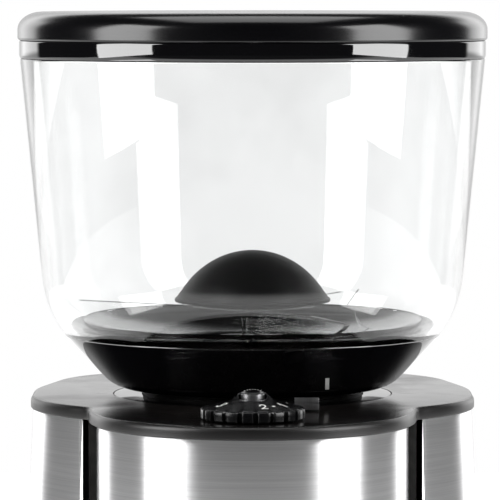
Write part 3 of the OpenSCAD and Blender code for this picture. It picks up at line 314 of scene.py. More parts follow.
def effect(name, inputs, outputs):
    """An empty node group with named inputs and outputs: the tree, its inputs and its output node."""
    tree = bpy.data.node_groups.new(name, "ShaderNodeTree")
    for label, start in inputs.items():
        kind = "NodeSocketVector" if isinstance(start, tuple) else "NodeSocketFloat"
        tree.interface.new_socket(label, in_out="INPUT", socket_type=kind).default_value = start
    for label in outputs:
        tree.interface.new_socket(label, in_out="OUTPUT", socket_type="NodeSocketFloat")
    return tree, tree.nodes.new("NodeGroupInput").outputs, tree.nodes.new("NodeGroupOutput")


def place(tree, stretch=(1.0, 1.0, 1.0)):
    """Object coordinates stretched by a scale for each axis."""
    here = tree.nodes.new("ShaderNodeTexCoord").outputs["Object"]
    return vector_math(tree, "MULTIPLY", {0: here, 1: stretch})


def levelness(tree):
    """How far the surface faces upwards."""
    facing = tree.nodes.new("ShaderNodeNewGeometry").outputs["Normal"]
    return add(tree, "ShaderNodeSeparateXYZ", {0: facing}).outputs["Z"]


def noise(tree, at, scale=1.0, detail=3.0, roughness=0.5):
    """Soft noise at a place."""
    wires = {"Vector": at, "Scale": scale, "Detail": detail, "Roughness": roughness}
    return add(tree, "ShaderNodeTexNoise", wires).outputs["Fac"]


def brushed_grain():
    """Fine drawn-out lines and soft patches where the brush bit deeper."""
    tree, given, out = effect("brushed grain", {"Stretch": (30.0, 30.0, 3000.0)}, ["Lines", "Patches"])
    fine = noise(tree, place(tree, given["Stretch"]), 1.0, 4.0, 0.65)
    wider = vector_math(tree, "SCALE", {0: given["Stretch"], "Scale": 0.22})
    coarse = noise(tree, place(tree, wider), 1.0, 2.0, 0.5)
    lines = sums(tree, "ADD", sums(tree, "MULTIPLY", fine, 0.65), sums(tree, "MULTIPLY", coarse, 0.35))
    tree.links.new(between(tree, lines, 0.3, 0.7), out.inputs["Lines"])
    tree.links.new(noise(tree, place(tree, (14.0, 14.0, 60.0)), 1.0, 2.0, 0.5), out.inputs["Patches"])
    return tree


def moulded_skin():
    """The fine even texture of a spark-eroded mould."""
    tree, given, out = effect("moulded skin", {"Scale": 2600.0}, ["Height"])
    at = place(tree)
    cells = add(tree, "ShaderNodeTexVoronoi", {"Vector": at, "Scale": given["Scale"]}, feature="SMOOTH_F1")
    grit = noise(tree, at, given["Scale"], 3.0, 0.6)
    tree.links.new(sums(tree, "ADD", cells.outputs["Distance"], grit), out.inputs["Height"])
    return tree


def handling():
    """Wiped-on smudges and hair scratches."""
    tree, given, out = effect("handling", {"Scale": 1.0}, ["Smudge", "Scratch"])
    at = place(tree)
    scaled = vector_math(tree, "SCALE", {0: at, "Scale": given["Scale"]})
    cloud = noise(tree, scaled, 28.0, 5.0, 0.6)
    tree.links.new(between(tree, cloud, 0.45, 0.72), out.inputs["Smudge"])
    slanted = add(tree, "ShaderNodeMapping", {"Vector": scaled, "Rotation": (0.3, 0.5, 0.9),
                                              "Scale": (900.0, 26.0, 60.0)}).outputs[0]
    hairs = noise(tree, slanted, 1.0, 1.0, 0.4)
    tree.links.new(between(tree, hairs, 0.74, 0.82), out.inputs["Scratch"])
    return tree


def dust():
    """Specks that settle on faces turned upwards."""
    tree, given, out = effect("dust", {"Amount": 0.5}, ["Mask"])
    at = place(tree)
    cells = {"Vector": at, "Scale": 420.0, "Randomness": 1.0}
    specks = add(tree, "ShaderNodeTexVoronoi", cells, feature="F1")
    size = between(tree, specks.outputs["Distance"], 0.13, 0.06)
    some = between(tree, noise(tree, at, 160.0, 2.0), 0.52, 0.62)
    lying = between(tree, levelness(tree), 0.55, 0.9)
    kept = sums(tree, "MULTIPLY", lying, given["Amount"])
    mask = sums(tree, "MULTIPLY", sums(tree, "MULTIPLY", size, some), kept)
    tree.links.new(mask, out.inputs["Mask"])
    return tree


def edge_wear():
    """Outer edges, broken up as handling leaves them."""
    tree, given, out = effect("edge wear", {"Amount": 0.5}, ["Mask"])
    corner = tree.nodes.new("ShaderNodeNewGeometry").outputs["Pointiness"]
    raised_part = between(tree, corner, 0.52, 0.62)
    broken = between(tree, noise(tree, place(tree), 220.0, 4.0, 0.6), 0.35, 0.65, 0.35, 1.0)
    mask = sums(tree, "MULTIPLY", sums(tree, "MULTIPLY", raised_part, broken), given["Amount"])
    tree.links.new(mask, out.inputs["Mask"])
    return tree


def turning_rings():
    """Rings left by a lathe round an upright axis through the burrs."""
    tree, given, out = effect("turning rings", {"Pitch": 0.0004}, ["Lines"])
    here = tree.nodes.new("ShaderNodeTexCoord").outputs["Object"]
    centred = vector_math(tree, "SUBTRACT", {0: here, 1: tuple(burr_axis)})
    flat = vector_math(tree, "MULTIPLY", {0: centred, 1: (1.0, 1.0, 0.0)})
    radius = vector_math(tree, "LENGTH", {0: flat}, "Value")
    turns = sums(tree, "DIVIDE", radius, given["Pitch"])
    wave = sums(tree, "SINE", sums(tree, "MULTIPLY", turns, 2 * pi), 0.0)
    wobble = noise(tree, place(tree, (60.0, 60.0, 60.0)), 1.0, 2.0)
    tree.links.new(sums(tree, "MULTIPLY", sums(tree, "ADD", wave, 1.0), wobble), out.inputs["Lines"])
    return tree


effects = {tree.name: tree for tree in
           (brushed_grain(), moulded_skin(), handling(), dust(), edge_wear(), turning_rings())}


def use(tree, name, **values):
    """One shared effect placed in a material with its own values."""
    node = tree.nodes.new("ShaderNodeGroup")
    node.node_tree = effects[name]
    for label, value in values.items():
        node.inputs[label].default_value = value
    return node.outputs


# ---------- Finishes: the materials ----------

def blank(name, **plain):
    """A material with its Principled shader, the uniform values set on the shader's own sockets."""
    material = bpy.data.materials.new(name)
    material.use_nodes = True
    tree = material.node_tree
    shader = tree.nodes["Principled BSDF"]
    for label, value in plain.items():
        shader.inputs[label.replace("_", " ")].default_value = value
    return material, tree, shader


def paint(tree, shader, mask, plain, marked):
    """The base colour, turning into another under a mask."""
    mix = add(tree, "ShaderNodeMix", data_type="RGBA")
    tree.links.new(mask, mix.inputs["Factor"])
    mix.inputs[6].default_value = (*plain, 1)
    mix.inputs[7].default_value = (*marked, 1)
    tree.links.new(mix.outputs[2], shader.inputs["Base Color"])


def part_plus(tree, mask, amount, rest, clamp=False):
    """A share of a mask added to a value or socket."""
    return sums(tree, "ADD", sums(tree, "MULTIPLY", mask, amount), rest, clamp)


def dull(tree, shader, mask, amount, plain, clamp=False):
    """The roughness, raised by a share of a mask."""
    tree.links.new(part_plus(tree, mask, amount, plain, clamp), shader.inputs["Roughness"])


def bump(tree, shader, height, depth, strength=1.0):
    """A height on the surface, in metres."""
    wires = {"Height": height, "Distance": depth, "Strength": strength}
    tree.links.new(add(tree, "ShaderNodeBump", wires).outputs["Normal"], shader.inputs["Normal"])


def aged(tree, shader, colour, worn_to, dusty, worn):
    """The colour with dust and worn edges on it; gives the dust's mask."""
    specks = use(tree, "dust", Amount=dusty)["Mask"]
    edges = use(tree, "edge wear", Amount=worn)["Mask"]
    paint(tree, shader, sums(tree, "ADD", specks, edges, clamp=True), colour, worn_to)
    return specks


def black_gloss(name, colour, roughness, ior=1.52, smudged=0.05):
    """Polished black moulding: wiped smudges, hair scratches, a little dust on top."""
    material, tree, shader = blank(name, IOR=ior)
    marks = use(tree, "handling", Scale=1.0)
    specks = aged(tree, shader, colour, (0.12, 0.12, 0.12), 0.35, 0.25)
    smudges = part_plus(tree, marks["Smudge"], smudged, roughness)
    dull(tree, shader, specks, 0.4, smudges, clamp=True)
    bump(tree, shader, sums(tree, "MULTIPLY", marks["Scratch"], -1.0), 0.004 * mm, 0.25)
    return material


def black_satin(name, colour, roughness, skin=2600.0, depth=0.012, dusty=0.6,
                warm=(0.10, 0.095, 0.09), ior=1.5, rim=0.0):
    """Textured black moulding or powder coat; where it turns down from level it can be rougher."""
    material, tree, shader = blank(name, IOR=ior)
    marks = use(tree, "handling", Scale=0.7)
    aged(tree, shader, colour, warm, dusty, 0.4)
    turned_down = between(tree, levelness(tree), 0.97, 0.75, 0.0, rim)
    uneven = part_plus(tree, marks["Smudge"], 0.09, turned_down)
    tree.links.new(sums(tree, "ADD", uneven, roughness, clamp=True), shader.inputs["Roughness"])
    bump(tree, shader, use(tree, "moulded skin", Scale=skin)["Height"], depth * mm, 0.5)
    return material


def bare_metal(name, colour, dark, roughness, stretch, depth, spread=0.0):
    """Brushed or ground metal, its lines running across the stretched axis."""
    material, tree, shader = blank(name, Metallic=1.0, Anisotropic=spread, Anisotropic_Rotation=0.25)
    if spread:
        facing = tree.nodes.new("ShaderNodeNewGeometry").outputs["Normal"]
        along = vector_math(tree, "CROSS_PRODUCT", {0: facing, 1: (0.001, 0.0, 1.0)})
        tree.links.new(along, shader.inputs["Tangent"])
    grain = use(tree, "brushed grain", Stretch=stretch)
    marks = use(tree, "handling", Scale=0.8)
    paint(tree, shader, grain["Lines"], dark, colour)
    smudges = sums(tree, "MULTIPLY", marks["Smudge"], 0.05)
    bitten = part_plus(tree, grain["Patches"], 0.12, smudges)
    tree.links.new(sums(tree, "ADD", bitten, roughness - 0.06), shader.inputs["Roughness"])
    bump(tree, shader, grain["Lines"], depth * mm, 0.6)
    return material


def turned_metal(name, colour, dark, roughness, pitch, depth):
    """Metal from the lathe."""
    material, tree, shader = blank(name, Metallic=1.0)
    rings = use(tree, "turning rings", Pitch=pitch)["Lines"]
    stain = use(tree, "handling", Scale=1.6)["Smudge"]
    paint(tree, shader, stain, colour, dark)
    dull(tree, shader, stain, 0.12, roughness)
    bump(tree, shader, rings, depth * mm, 0.6)
    return material


def clouded(name, colour, stained, roughness, cloud, uneven, skin, depth, strength, **plain):
    """A moulded, cast or rubber surface with a soft stain and the skin of its mould."""
    material, tree, shader = blank(name, **plain)
    stain = use(tree, "handling", Scale=cloud)["Smudge"]
    paint(tree, shader, stain, colour, stained)
    dull(tree, shader, stain, uneven, roughness)
    bump(tree, shader, use(tree, "moulded skin", Scale=skin)["Height"], depth * mm, strength)
    return material


def pale_plastic(name, colour, stained, roughness):
    """Moulded pale or grey plastic."""
    return clouded(name, colour, stained, roughness, 1.5, 0.1, 2200.0, 0.01, 0.5, IOR=1.5)


def layered_steel():
    """The edges of stacked sheets, each 0.5 mm."""
    material, tree, shader = blank("stacked sheet steel", Metallic=0.85)
    height = add(tree, "ShaderNodeSeparateXYZ", {0: place(tree)}).outputs["Z"]
    wave = sums(tree, "SINE", sums(tree, "MULTIPLY", height, 2 * pi / (0.5 * mm)), 0.0)
    sheets = between(tree, wave, -0.6, 0.4)
    rust = use(tree, "handling", Scale=3.0)["Smudge"]
    paint(tree, shader, rust, (0.20, 0.21, 0.23), (0.12, 0.10, 0.09))
    dull(tree, shader, rust, 0.15, 0.42)
    bump(tree, shader, sheets, 0.05 * mm, 0.8)
    return material


def enamelled_wire():
    """Varnished copper windings laid side by side."""
    material, tree, shader = blank("varnished copper wire", Metallic=0.7, Coat_Weight=0.6,
                                   Coat_Roughness=0.12)
    height = add(tree, "ShaderNodeSeparateXYZ", {0: place(tree)}).outputs["Z"]
    wobble = noise(tree, place(tree, (300.0, 300.0, 300.0)), 1.0, 2.0)
    phase = part_plus(tree, height, 2 * pi / (0.7 * mm), sums(tree, "MULTIPLY", wobble, 3.0))
    strands = between(tree, sums(tree, "SINE", phase, 0.0), -0.9, 0.9)
    paint(tree, shader, strands, (0.25, 0.09, 0.03), (0.62, 0.28, 0.12))
    dull(tree, shader, wobble, 0.2, 0.2)
    bump(tree, shader, strands, 0.2 * mm, 0.9)
    return material


def clear_moulding(name, colour, roughness):
    """Clear plastic with faint flow marks; its gloss is plain so that it stays clear."""
    material, tree, shader = blank(name, IOR=1.49, Transmission_Weight=1.0)
    marks = use(tree, "handling", Scale=0.5)
    specks = use(tree, "dust", Amount=0.2)["Mask"]
    hazy = tuple(0.93 * channel for channel in colour)
    paint(tree, shader, marks["Smudge"], colour, hazy)
    dusty = part_plus(tree, specks, 0.3, sums(tree, "MULTIPLY", marks["Scratch"], 0.02))
    tree.links.new(sums(tree, "ADD", dusty, roughness, clamp=True), shader.inputs["Roughness"])
    flow = noise(tree, place(tree, (18.0, 18.0, 9.0)), 1.0, 2.0, 0.4)
    bump(tree, shader, flow, 0.02 * mm, 0.2)
    return material


fine_lines_down = (30.0, 30.0, 3200.0)
fine_lines_across = (2600.0, 40.0, 40.0)
finishes = {
    "clear_plastic": clear_moulding("clear hopper plastic", (0.985, 0.99, 0.99), 0.0),
    "gloss_black_plastic": black_gloss("gloss black plastic", (0.0015, 0.0015, 0.002), 0.05),
    "satin_black_plastic": black_satin("satin black plastic", (0.014, 0.013, 0.0125), 0.36),
    "painted_black_steel": black_satin("black powder coat", (0.010, 0.010, 0.010), 0.45, 1900.0, 0.02),
    "brushed_steel": bare_metal("brushed stainless steel", (0.82, 0.82, 0.825), (0.68, 0.68, 0.685), 0.36,
                                fine_lines_down, 0.003, 1.0),
    "machined_steel": bare_metal("ground steel", (0.62, 0.62, 0.63), (0.46, 0.46, 0.47), 0.28,
                                 fine_lines_across, 0.006),
    "dark_fasteners": turned_metal("blackened steel", (0.07, 0.07, 0.075), (0.03, 0.028, 0.026), 0.32,
                                   0.3 * mm, 0.01),
    "cast_aluminium": clouded("cast aluminium", (0.55, 0.56, 0.57), (0.40, 0.40, 0.41), 0.42,
                              2.2, 0.15, 1300.0, 0.03, 0.7, Metallic=0.9),
    "brass": turned_metal("machined brass", (0.72, 0.52, 0.22), (0.48, 0.33, 0.13), 0.24, 0.35 * mm, 0.01),
    "electrical_steel": layered_steel(),
    "copper_windings": enamelled_wire(),
    "grey_plastic": pale_plastic("grey moulded plastic", (0.33, 0.33, 0.33), (0.24, 0.235, 0.225), 0.42),
    "rubber": clouded("rubber", (0.012, 0.012, 0.013), (0.045, 0.045, 0.045), 0.68,
                      2.0, 0.15, 1700.0, 0.03, 0.6, IOR=1.45, Sheen_Weight=0.15, Sheen_Roughness=0.5),
}
gloss_black = finishes["gloss_black_plastic"]
satin_black = finishes["satin_black_plastic"]
clear = finishes["clear_plastic"]
brushed = finishes["brushed_steel"]
band_gloss = black_gloss("band gloss", (0.0015, 0.0015, 0.002), 0.03, 1.85, 0.03)
edge_gloss = black_gloss("polished edge", (0.01, 0.01, 0.01), 0.10, 3.2, 0.03)
dial_gloss = black_gloss("dial gloss", (0.0015, 0.0015, 0.002), 0.24, 1.45, 0.03)
lid_gloss = black_gloss("lid gloss", (0.0015, 0.0015, 0.002), 0.19, 1.52, 0.03)
dome_satin = black_satin("dome satin", (0.001, 0.001, 0.001), 0.46, 2600.0, 0.004, 0.3, ior=1.3)
# White for the printed figures and the index mark; also used for the painted glints on the dial's hub rim.
print_and_glint_white = pale_plastic("printed white and painted glints", (0.82, 0.82, 0.80), (0.60, 0.60, 0.58), 0.5)
plate_satin = black_satin("top plate satin", (0.0045, 0.004, 0.004), 0.17, 3200.0, 0.002, 0.8,
                          (0.08, 0.07, 0.065), rim=0.2)
panel_matt = black_satin("matt panel black", (0.0015, 0.0015, 0.0015), 0.6, 2600.0, 0.004, 0.2, ior=1.25)
olive_zinc = turned_metal("olive zinc", (0.032, 0.030, 0.019), (0.02, 0.02, 0.014), 0.5, 0.3 * mm, 0.01)
bright_steel = bare_metal("pointer steel", (0.60, 0.60, 0.61), (0.45, 0.45, 0.46), 0.30,
                          fine_lines_across, 0.004)

for node, plain_piece in frame["nodes"].items():
    plain_piece.data.materials.clear()
    plain_piece.data.materials.append(finishes[slot_of[node]])


# ---------- Hopper: section from the burr axis ----------
bowl_flat = 44 * mm
hopper_gap = 2.3 * mm
foot_round = 13.6 * mm
cone_length = 18.2 * mm
cone_lean = 42
shoulder_round = 38 * mm
side_lean = 5.6
shell_wall = 3.2 * mm
shell_bead = 0.42 * mm
seam_step = 0.2 * mm
slip_gap = 0.15 * mm
seal_depth = 2.3 * mm
throat_radius = 24 * mm
neck_radius = 29 * mm
neck_foot, bowl_rim = (corner.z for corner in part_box("hopper_bowl"))
cone_out = Vector((cos(radians(cone_lean)), -sin(radians(cone_lean))))
cone_up = Vector((sin(radians(cone_lean)), cos(radians(cone_lean))))
foot_centre = Vector((bowl_flat, plate_top + hopper_gap + foot_round))
shoulder_centre = foot_centre + (foot_round - shoulder_round) * cone_out + cone_length * cone_up


def side_line(inset):
    """The hopper's side from its flat underside to above its top, moved inwards."""
    foot = arc(foot_centre, foot_round - inset, -90, -cone_lean, 10)
    shoulder = arc(shoulder_centre, shoulder_round - inset, -cone_lean, -side_lean, 28)
    past_top = shell_top + 2 * mm
    last = shoulder[-1]
    return foot + shoulder + [Vector((last.x + (past_top - last.y) * tan(radians(side_lean)), past_top))]


def at_height(line, height):
    """Where a rising line crosses a height."""
    for here, there in zip(line, line[1:]):
        if here.y <= height <= there.y:
            return here.lerp(there, (height - here.y) / (there.y - here.y))


def part_of(line, low, high):
    """The part of a rising line between two heights."""
    inside = [point for point in line if low < point.y < high]
    return [at_height(line, low)] + inside + [at_height(line, high)]


def hopper_wall():
    """The clear shell, its lower edge standing on the bowl's step."""
    outer = part_of(side_line(0), shell_z, shell_top)
    inner = part_of(side_line(shell_wall), shell_z, shell_top)
    spun("hopper_wall", "hopper_shell", outer + inner[::-1], 0.6 * mm, clear, 216)
    bead = [outer[0] + shell_bead * Vector((cos(radians(a)) - 0.6, sin(radians(a)) + 0.4))
            for a in range(0, 360, 30)]
    show("shell_edge", turned(bead, turns=216), edge_gloss, ["hopper_shell"])


def lid_band():
    """The dark band that closes the shell's top edge."""
    outer = half_width("hopper_band")
    inner = at_height(side_line(shell_wall), shell_top).x
    lip = 0.35 * mm
    section = [(outer - lip, shell_top), (outer, shell_top + 1.2 * mm), (outer, band_top - 0.5 * mm),
               (outer - lip, band_top), (inner, band_top), (inner, shell_top)]
    spun("lid_band", "hopper_band", section, 0.4 * mm, band_gloss, 216)


def bowl():
    """The black bowl: a stepped outer side, a funnel inside and the neck with its seal groove."""
    outside = side_line(seam_step)
    nested = side_line(shell_wall + slip_gap)
    seam = shell_z - slip_gap
    rim = at_height(nested, bowl_rim)
    seat = plate_top + 13 * mm
    knee = (50 * mm, seat + 6.4 * mm)
    underside = [point for point in outside if point.y < seam] + [at_height(outside, seam)]
    groove_middle = (neck_foot + plate_top) / 2
    groove_in = neck_radius - seal_depth
    groove = [(neck_radius, groove_middle - 1.2 * mm), (groove_in, groove_middle - 1.2 * mm),
              (groove_in, groove_middle + 1.2 * mm), (neck_radius, groove_middle + 1.2 * mm)]
    section = [(throat_radius, neck_foot), (neck_radius, neck_foot)] + groove
    section += [(neck_radius, underside[0].y)] + underside
    section += part_of(nested, seam, bowl_rim)
    section += [(rim.x - 2 * mm, bowl_rim), knee, (throat_radius + 5 * mm, seat), (throat_radius, seat)]
    spun("bowl", "hopper_bowl", section, 0.5 * mm, gloss_black, 216)


def index_mark():
    """The white line printed on the bowl's side, read against the body when the hopper is set in."""
    middle_x, width = 26.1 * mm, 1.4 * mm
    shape = bmesh.new()
    for point in part_of(side_line(seam_step), plate_top + 5.8 * mm, plate_top + 10.3 * mm):
        for off in (0.03 * mm, -0.2 * mm):
            radius = point.x + off
            for x in (middle_x - width / 2, middle_x + width / 2):
                shape.verts.new((x, -sqrt(radius ** 2 - x ** 2), point.y))
    bmesh.ops.convex_hull(shape, input=shape.verts[:])
    bmesh.ops.translate(shape, verts=shape.verts[:], vec=burr_axis)
    show("index_mark", shape, print_and_glint_white, ["hopper_bowl"])


# ---------- Bean guard and dome ----------
guard_sheet = 1.6 * mm
fin_sheet = 2 * mm
fins = [(175, 70, 33.2), (55, 70, 33.5), (298, 69, 30.8)]
guard_line = [(61.2, 27.1), (57.5, 24.9), (53.1, 23), (46, 20.9), (36.9, 18.7), (26, 16.5)]
hub_top = plate_top + 31.5 * mm


def over_plate(points):
    """Section points in millimetres over the plate, as metres."""
    return [Vector((radius * mm, plate_top + height * mm)) for radius, height in points]


def fin(azimuth, reach, height):
    """One upright clear fin from the hub to the hopper's wall, its foot following the guard's floor."""
    floor = [point - Vector((0, guard_sheet / 2)) for point in over_plate(guard_line)]
    wing = over_plate([(0, 31.2), (20.1, 31.2), (reach - 0.6, height), (reach, height - 0.3),
                       (reach - 2, height - 2), (64.6, min(28.9, height - 3))])
    outline = wing + floor + over_plate([(22, 15.7), (0, 21)])
    shape = pulled([(point.x, -fin_sheet / 2, point.y) for point in outline], (0, fin_sheet, 0))
    round_edges(shape, sharp_edges(shape, 60), 0.25 * mm, 1)
    return move(shape, Matrix.Translation(burr_axis) @ Matrix.Rotation(radians(azimuth), 4, "Z"))


def guard():
    """The clear guard: a funnel floor, a skirt on the bowl's seat, a hub and three fins."""
    top = over_plate(guard_line)
    under = [point - Vector((0, guard_sheet)) for point in reversed(top)]
    floor = turned(eased(top + under, 0.4 * mm, 60), turns=120)
    skirt = turned(over_plate(oblong(25.8, 28, 13, 17.4)), turns=120)
    hub_radius, hub_foot = 4 * mm, plate_top + 19 * mm
    hub = rod(burr_axis.xy, hub_radius, hub_foot, hub_top)
    show("guard", together(floor, skirt, hub, *[fin(*each) for each in fins]), clear, ["bean_guard"])


def dome():
    """The domed cap over the bean guard's hub, with a thin lip and a foot."""
    radius, height, wall = 27.5 * mm, 16.7 * mm, 2 * mm
    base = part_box("finger_guard_dome")[1].z - height
    foot_radius = 19.8 * mm
    ball = (radius ** 2 + height ** 2) / (2 * height)
    low_angle = degrees(acos(radius / ball))
    centre = Vector((0, base + height - ball))
    outer = arc(centre, ball, low_angle, 90, 30)
    inner_angle = degrees(acos((radius - wall) / (ball - wall)))
    inner = arc(centre, ball - wall, 90, inner_angle, 20)
    lip_out, lip_foot = radius + 0.6 * mm, base - 1.2 * mm
    lip = [(foot_radius, hub_top), (foot_radius, lip_foot), (lip_out, lip_foot), (lip_out, base)]
    foot_in = foot_radius - wall
    inside = [(foot_in, base), (foot_in, hub_top + wall), (0, hub_top + wall), (0, hub_top)]
    spun("dome", "finger_guard_dome", lip + outer + inner + inside, 0.35 * mm, dome_satin)


def lid():
    """The gloss lid with its rounded rim and the plug that drops into the shell."""
    outer = half_width("lid")
    edge_w, edge_h, wall, plug_h = 8.8 * mm, 6.4 * mm, 2.4 * mm, 4 * mm
    plug = half_width("lid_seal") - 2 * mm
    corner = [(outer - edge_w + edge_w * cos(radians(a)), lid_top - edge_h + edge_h * sin(radians(a)))
              for a in range(0, 91, 5)]
    section = [(0, lid_top - wall), (plug - wall, lid_top - wall), (plug - wall, band_top - plug_h),
               (plug, band_top - plug_h), (plug, band_top), (outer - 0.6 * mm, band_top),
               (outer, band_top + 0.6 * mm)] + corner + [(0, lid_top)]
    spun("lid_moulding", "lid", section, 0.3 * mm, lid_gloss, 216, 35)


# ---------- Neck collar, trim ring and top plate ----------
collar_radius = 39.6 * mm


def collar():
    """The adjusting ring, whose threaded collar shows between the plate and the bowl."""
    ring_z, ring_top = (corner.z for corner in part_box("adjusting_ring"))
    gear_z, gear_top = (corner.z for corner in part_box("ring_gear"))
    seat = plate_top - 13.5 * mm
    thread_radius = 37.15 * mm
    groove, pitch = 0.4 * mm, 0.62 * mm
    thread = []
    for i in range(5):
        foot = ring_top - (5 - i) * pitch
        thread += [(collar_radius, foot), (collar_radius - groove, foot + 0.3 * pitch),
                   (collar_radius - groove, foot + 0.5 * pitch), (collar_radius, foot + 0.8 * pitch)]
    section = [(throat_radius, ring_z), (thread_radius, ring_z), (thread_radius, gear_z), (37 * mm, gear_z),
               (37 * mm, gear_top), (collar_radius, gear_top)] + thread
    section += [(collar_radius, ring_top), (neck_radius + slip_gap, ring_top), (neck_radius + slip_gap, seat),
                (throat_radius, seat)]
    spun("threaded_collar", "adjusting_ring", section, 0.12 * mm, dome_satin)


def trim():
    """The glossy ring let into the plate round the collar."""
    outer = half_width("trim_ring")
    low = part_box("trim_ring")[0].z
    inner = collar_radius + 0.4 * mm
    spun("trim_inlay", "trim_ring", oblong(inner, outer, low, plate_top), 0.3 * mm, gloss_black, 180)


side_round, side_x, side_front, side_rear = 60 * mm, 19.9 * mm, 3.4 * mm, 12 * mm
corner_round, corner_x, corner_back = 46 * mm, 28 * mm, 38 * mm
lobe_round, lobe_reach = 55.8 * mm, 59 * mm
lobe_side_round, lobe_side_reach = 57 * mm, 54 * mm
notch_ease = 2.6 * mm
column_round = 54.2 * mm
cover_edge = 59.5 * mm
cover_inset = 0.8 * mm
sheet = 1.2 * mm
fold_depth = 5 * mm
flare = 1 + (plate_z - cover_z) * tan(radians(2.6)) / (side_x + side_round - cover_inset)
pillar_places = [from_axis(x * mm, reach * mm) for x, reach in ((55.4, 0), (-55.4, 0), (42, -60), (-42, -60))]
plug_radius = 2.75 * mm
housing_rounds = ((side_x, side_front, side_round), (side_x, -side_rear, side_round),
                  (corner_x, -corner_back, corner_round))
housing_circles = [(from_axis(side * x, reach), radius) for side in (-1, 1)
                   for x, reach, radius in housing_rounds]
lobe_circles = [(from_axis(0, lobe_reach), lobe_round), (from_axis(0, lobe_side_reach), lobe_side_round)]


def wrapped(circles, inset, start, end, step=3):
    """A line drawn tight round circles between two directions in degrees."""
    points = []
    count = round((end - start) / step)
    for i in range(count + 1):
        angle = radians(start + (end - start) * i / count)
        towards = Vector((cos(angle), sin(angle)))
        centre, radius = max(circles, key=lambda circle: circle[0].dot(towards) + circle[1])
        points.append(centre + (radius - inset) * towards)
    return points


def front_line(reach, radius, back, steps=60):
    """A round front with straight sides running back to a line."""
    bend = arc(from_axis(0, reach), radius, 180, 360, steps)
    return bend + [from_axis(radius, back), from_axis(-radius, back)]


def plate_outline():
    """The plate's plan: the housing with the round lobe in front, the two notches softened."""
    lobe, side = lobe_circles[1], housing_circles[3]
    crossings = intersect_sphere_sphere_2d(lobe[0], lobe[1], side[0], side[1])
    meeting = Vector(max(crossings, key=lambda point: point[0]))
    lobe_angle, side_angle = (degrees(atan2(way.y, way.x)) for way in (meeting - lobe[0], meeting - side[0]))
    front = wrapped(lobe_circles, 0, -180 - lobe_angle, lobe_angle, 2)
    back = wrapped(housing_circles, 0, side_angle, 180 - side_angle, 2)
    outline = []
    for line in (front, back):
        corner = line[-1]
        kept = [point for point in line[1:-1]
                if min((point - line[0]).length, (point - corner).length) > notch_ease]
        outline.append((kept, corner))
    loop = []
    for (kept, corner), (following, _) in zip(outline, outline[1:] + outline[:1]):
        start, end = kept[-1], following[0]
        loop += kept + bent(start, corner, end, (0.25, 0.5, 0.75))
    return loop


def plate():
    """The lobed top plate, with a ledge under the trim ring and holes for the bush and the screws."""
    body = raised(plate_outline(), plate_z, plate_top, 1.9 * mm, 0.6 * mm, 5)
    under, over = plate_z - 1 * mm, plate_top + 1 * mm
    ring_hole, bush_hole = 50.4 * mm, 7 * mm
    ledge_in, ledge_out, ledge_top = 42.6 * mm, 50.45 * mm, plate_top - 2 * mm
    tools = [rod(burr_axis.xy, ring_hole, under, over, 180), rod(dial_axis.xy, bush_hole, under, over)]
    tools += [rod(place_at, plug_radius, plate_top - 2.2 * mm, over, 40) for place_at in pillar_places]
    ledge = turned(oblong(ledge_in, ledge_out, plate_z, ledge_top))
    show("plate", together(cut(body, *tools), ledge), plate_satin, ["top_plate"], crease=25)


def screws():
    """Plugs over the pillar screws in the plate, and the screws under the base."""
    parts = []
    base_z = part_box("base_plate")[0].z
    plug = oblong(0, plug_radius, plate_top - 2.1 * mm, plate_top)
    head_out, socket = 3.9 * mm, 1.6 * mm
    head = [(0, base_z + 3 * mm), (head_out, base_z + 3 * mm), (head_out, base_z + 1 * mm),
            (socket, base_z + 1 * mm), (socket, base_z + 2 * mm), (0, base_z + 2 * mm)]
    for place_at in pillar_places:
        parts += [turned(eased(plug, 0.1 * mm), place_at.to_3d(), 40),
                  turned(eased(head, 0.3 * mm), place_at.to_3d(), 32)]
    show("screw_plugs", together(*parts), plate_satin, ["pillar_screws"])


# ---------- Dial and pointer ----------
dial_z = plate_top + 0.5 * mm
dial_radius = 17.7 * mm
flutes, flute_turn = 20, 3.4
flute_depth = 1.3 * mm
cone_foot_r, cone_foot_h = 16 * mm, 3.9 * mm
cone_top_r, cone_top_h = 7.4 * mm, 6.2 * mm
hub_low, hub_high = 6.4 * mm, 9.5 * mm
eye_floor = 5.4 * mm


def hub_rim(angle):
    """The hub's slanted rim at an angle: how far out it lies and how high."""
    height = (hub_high + hub_low) / 2 + sin(angle) * (hub_high - hub_low) / 2
    return 7 * mm - 0.88 * (height - cone_top_h), height


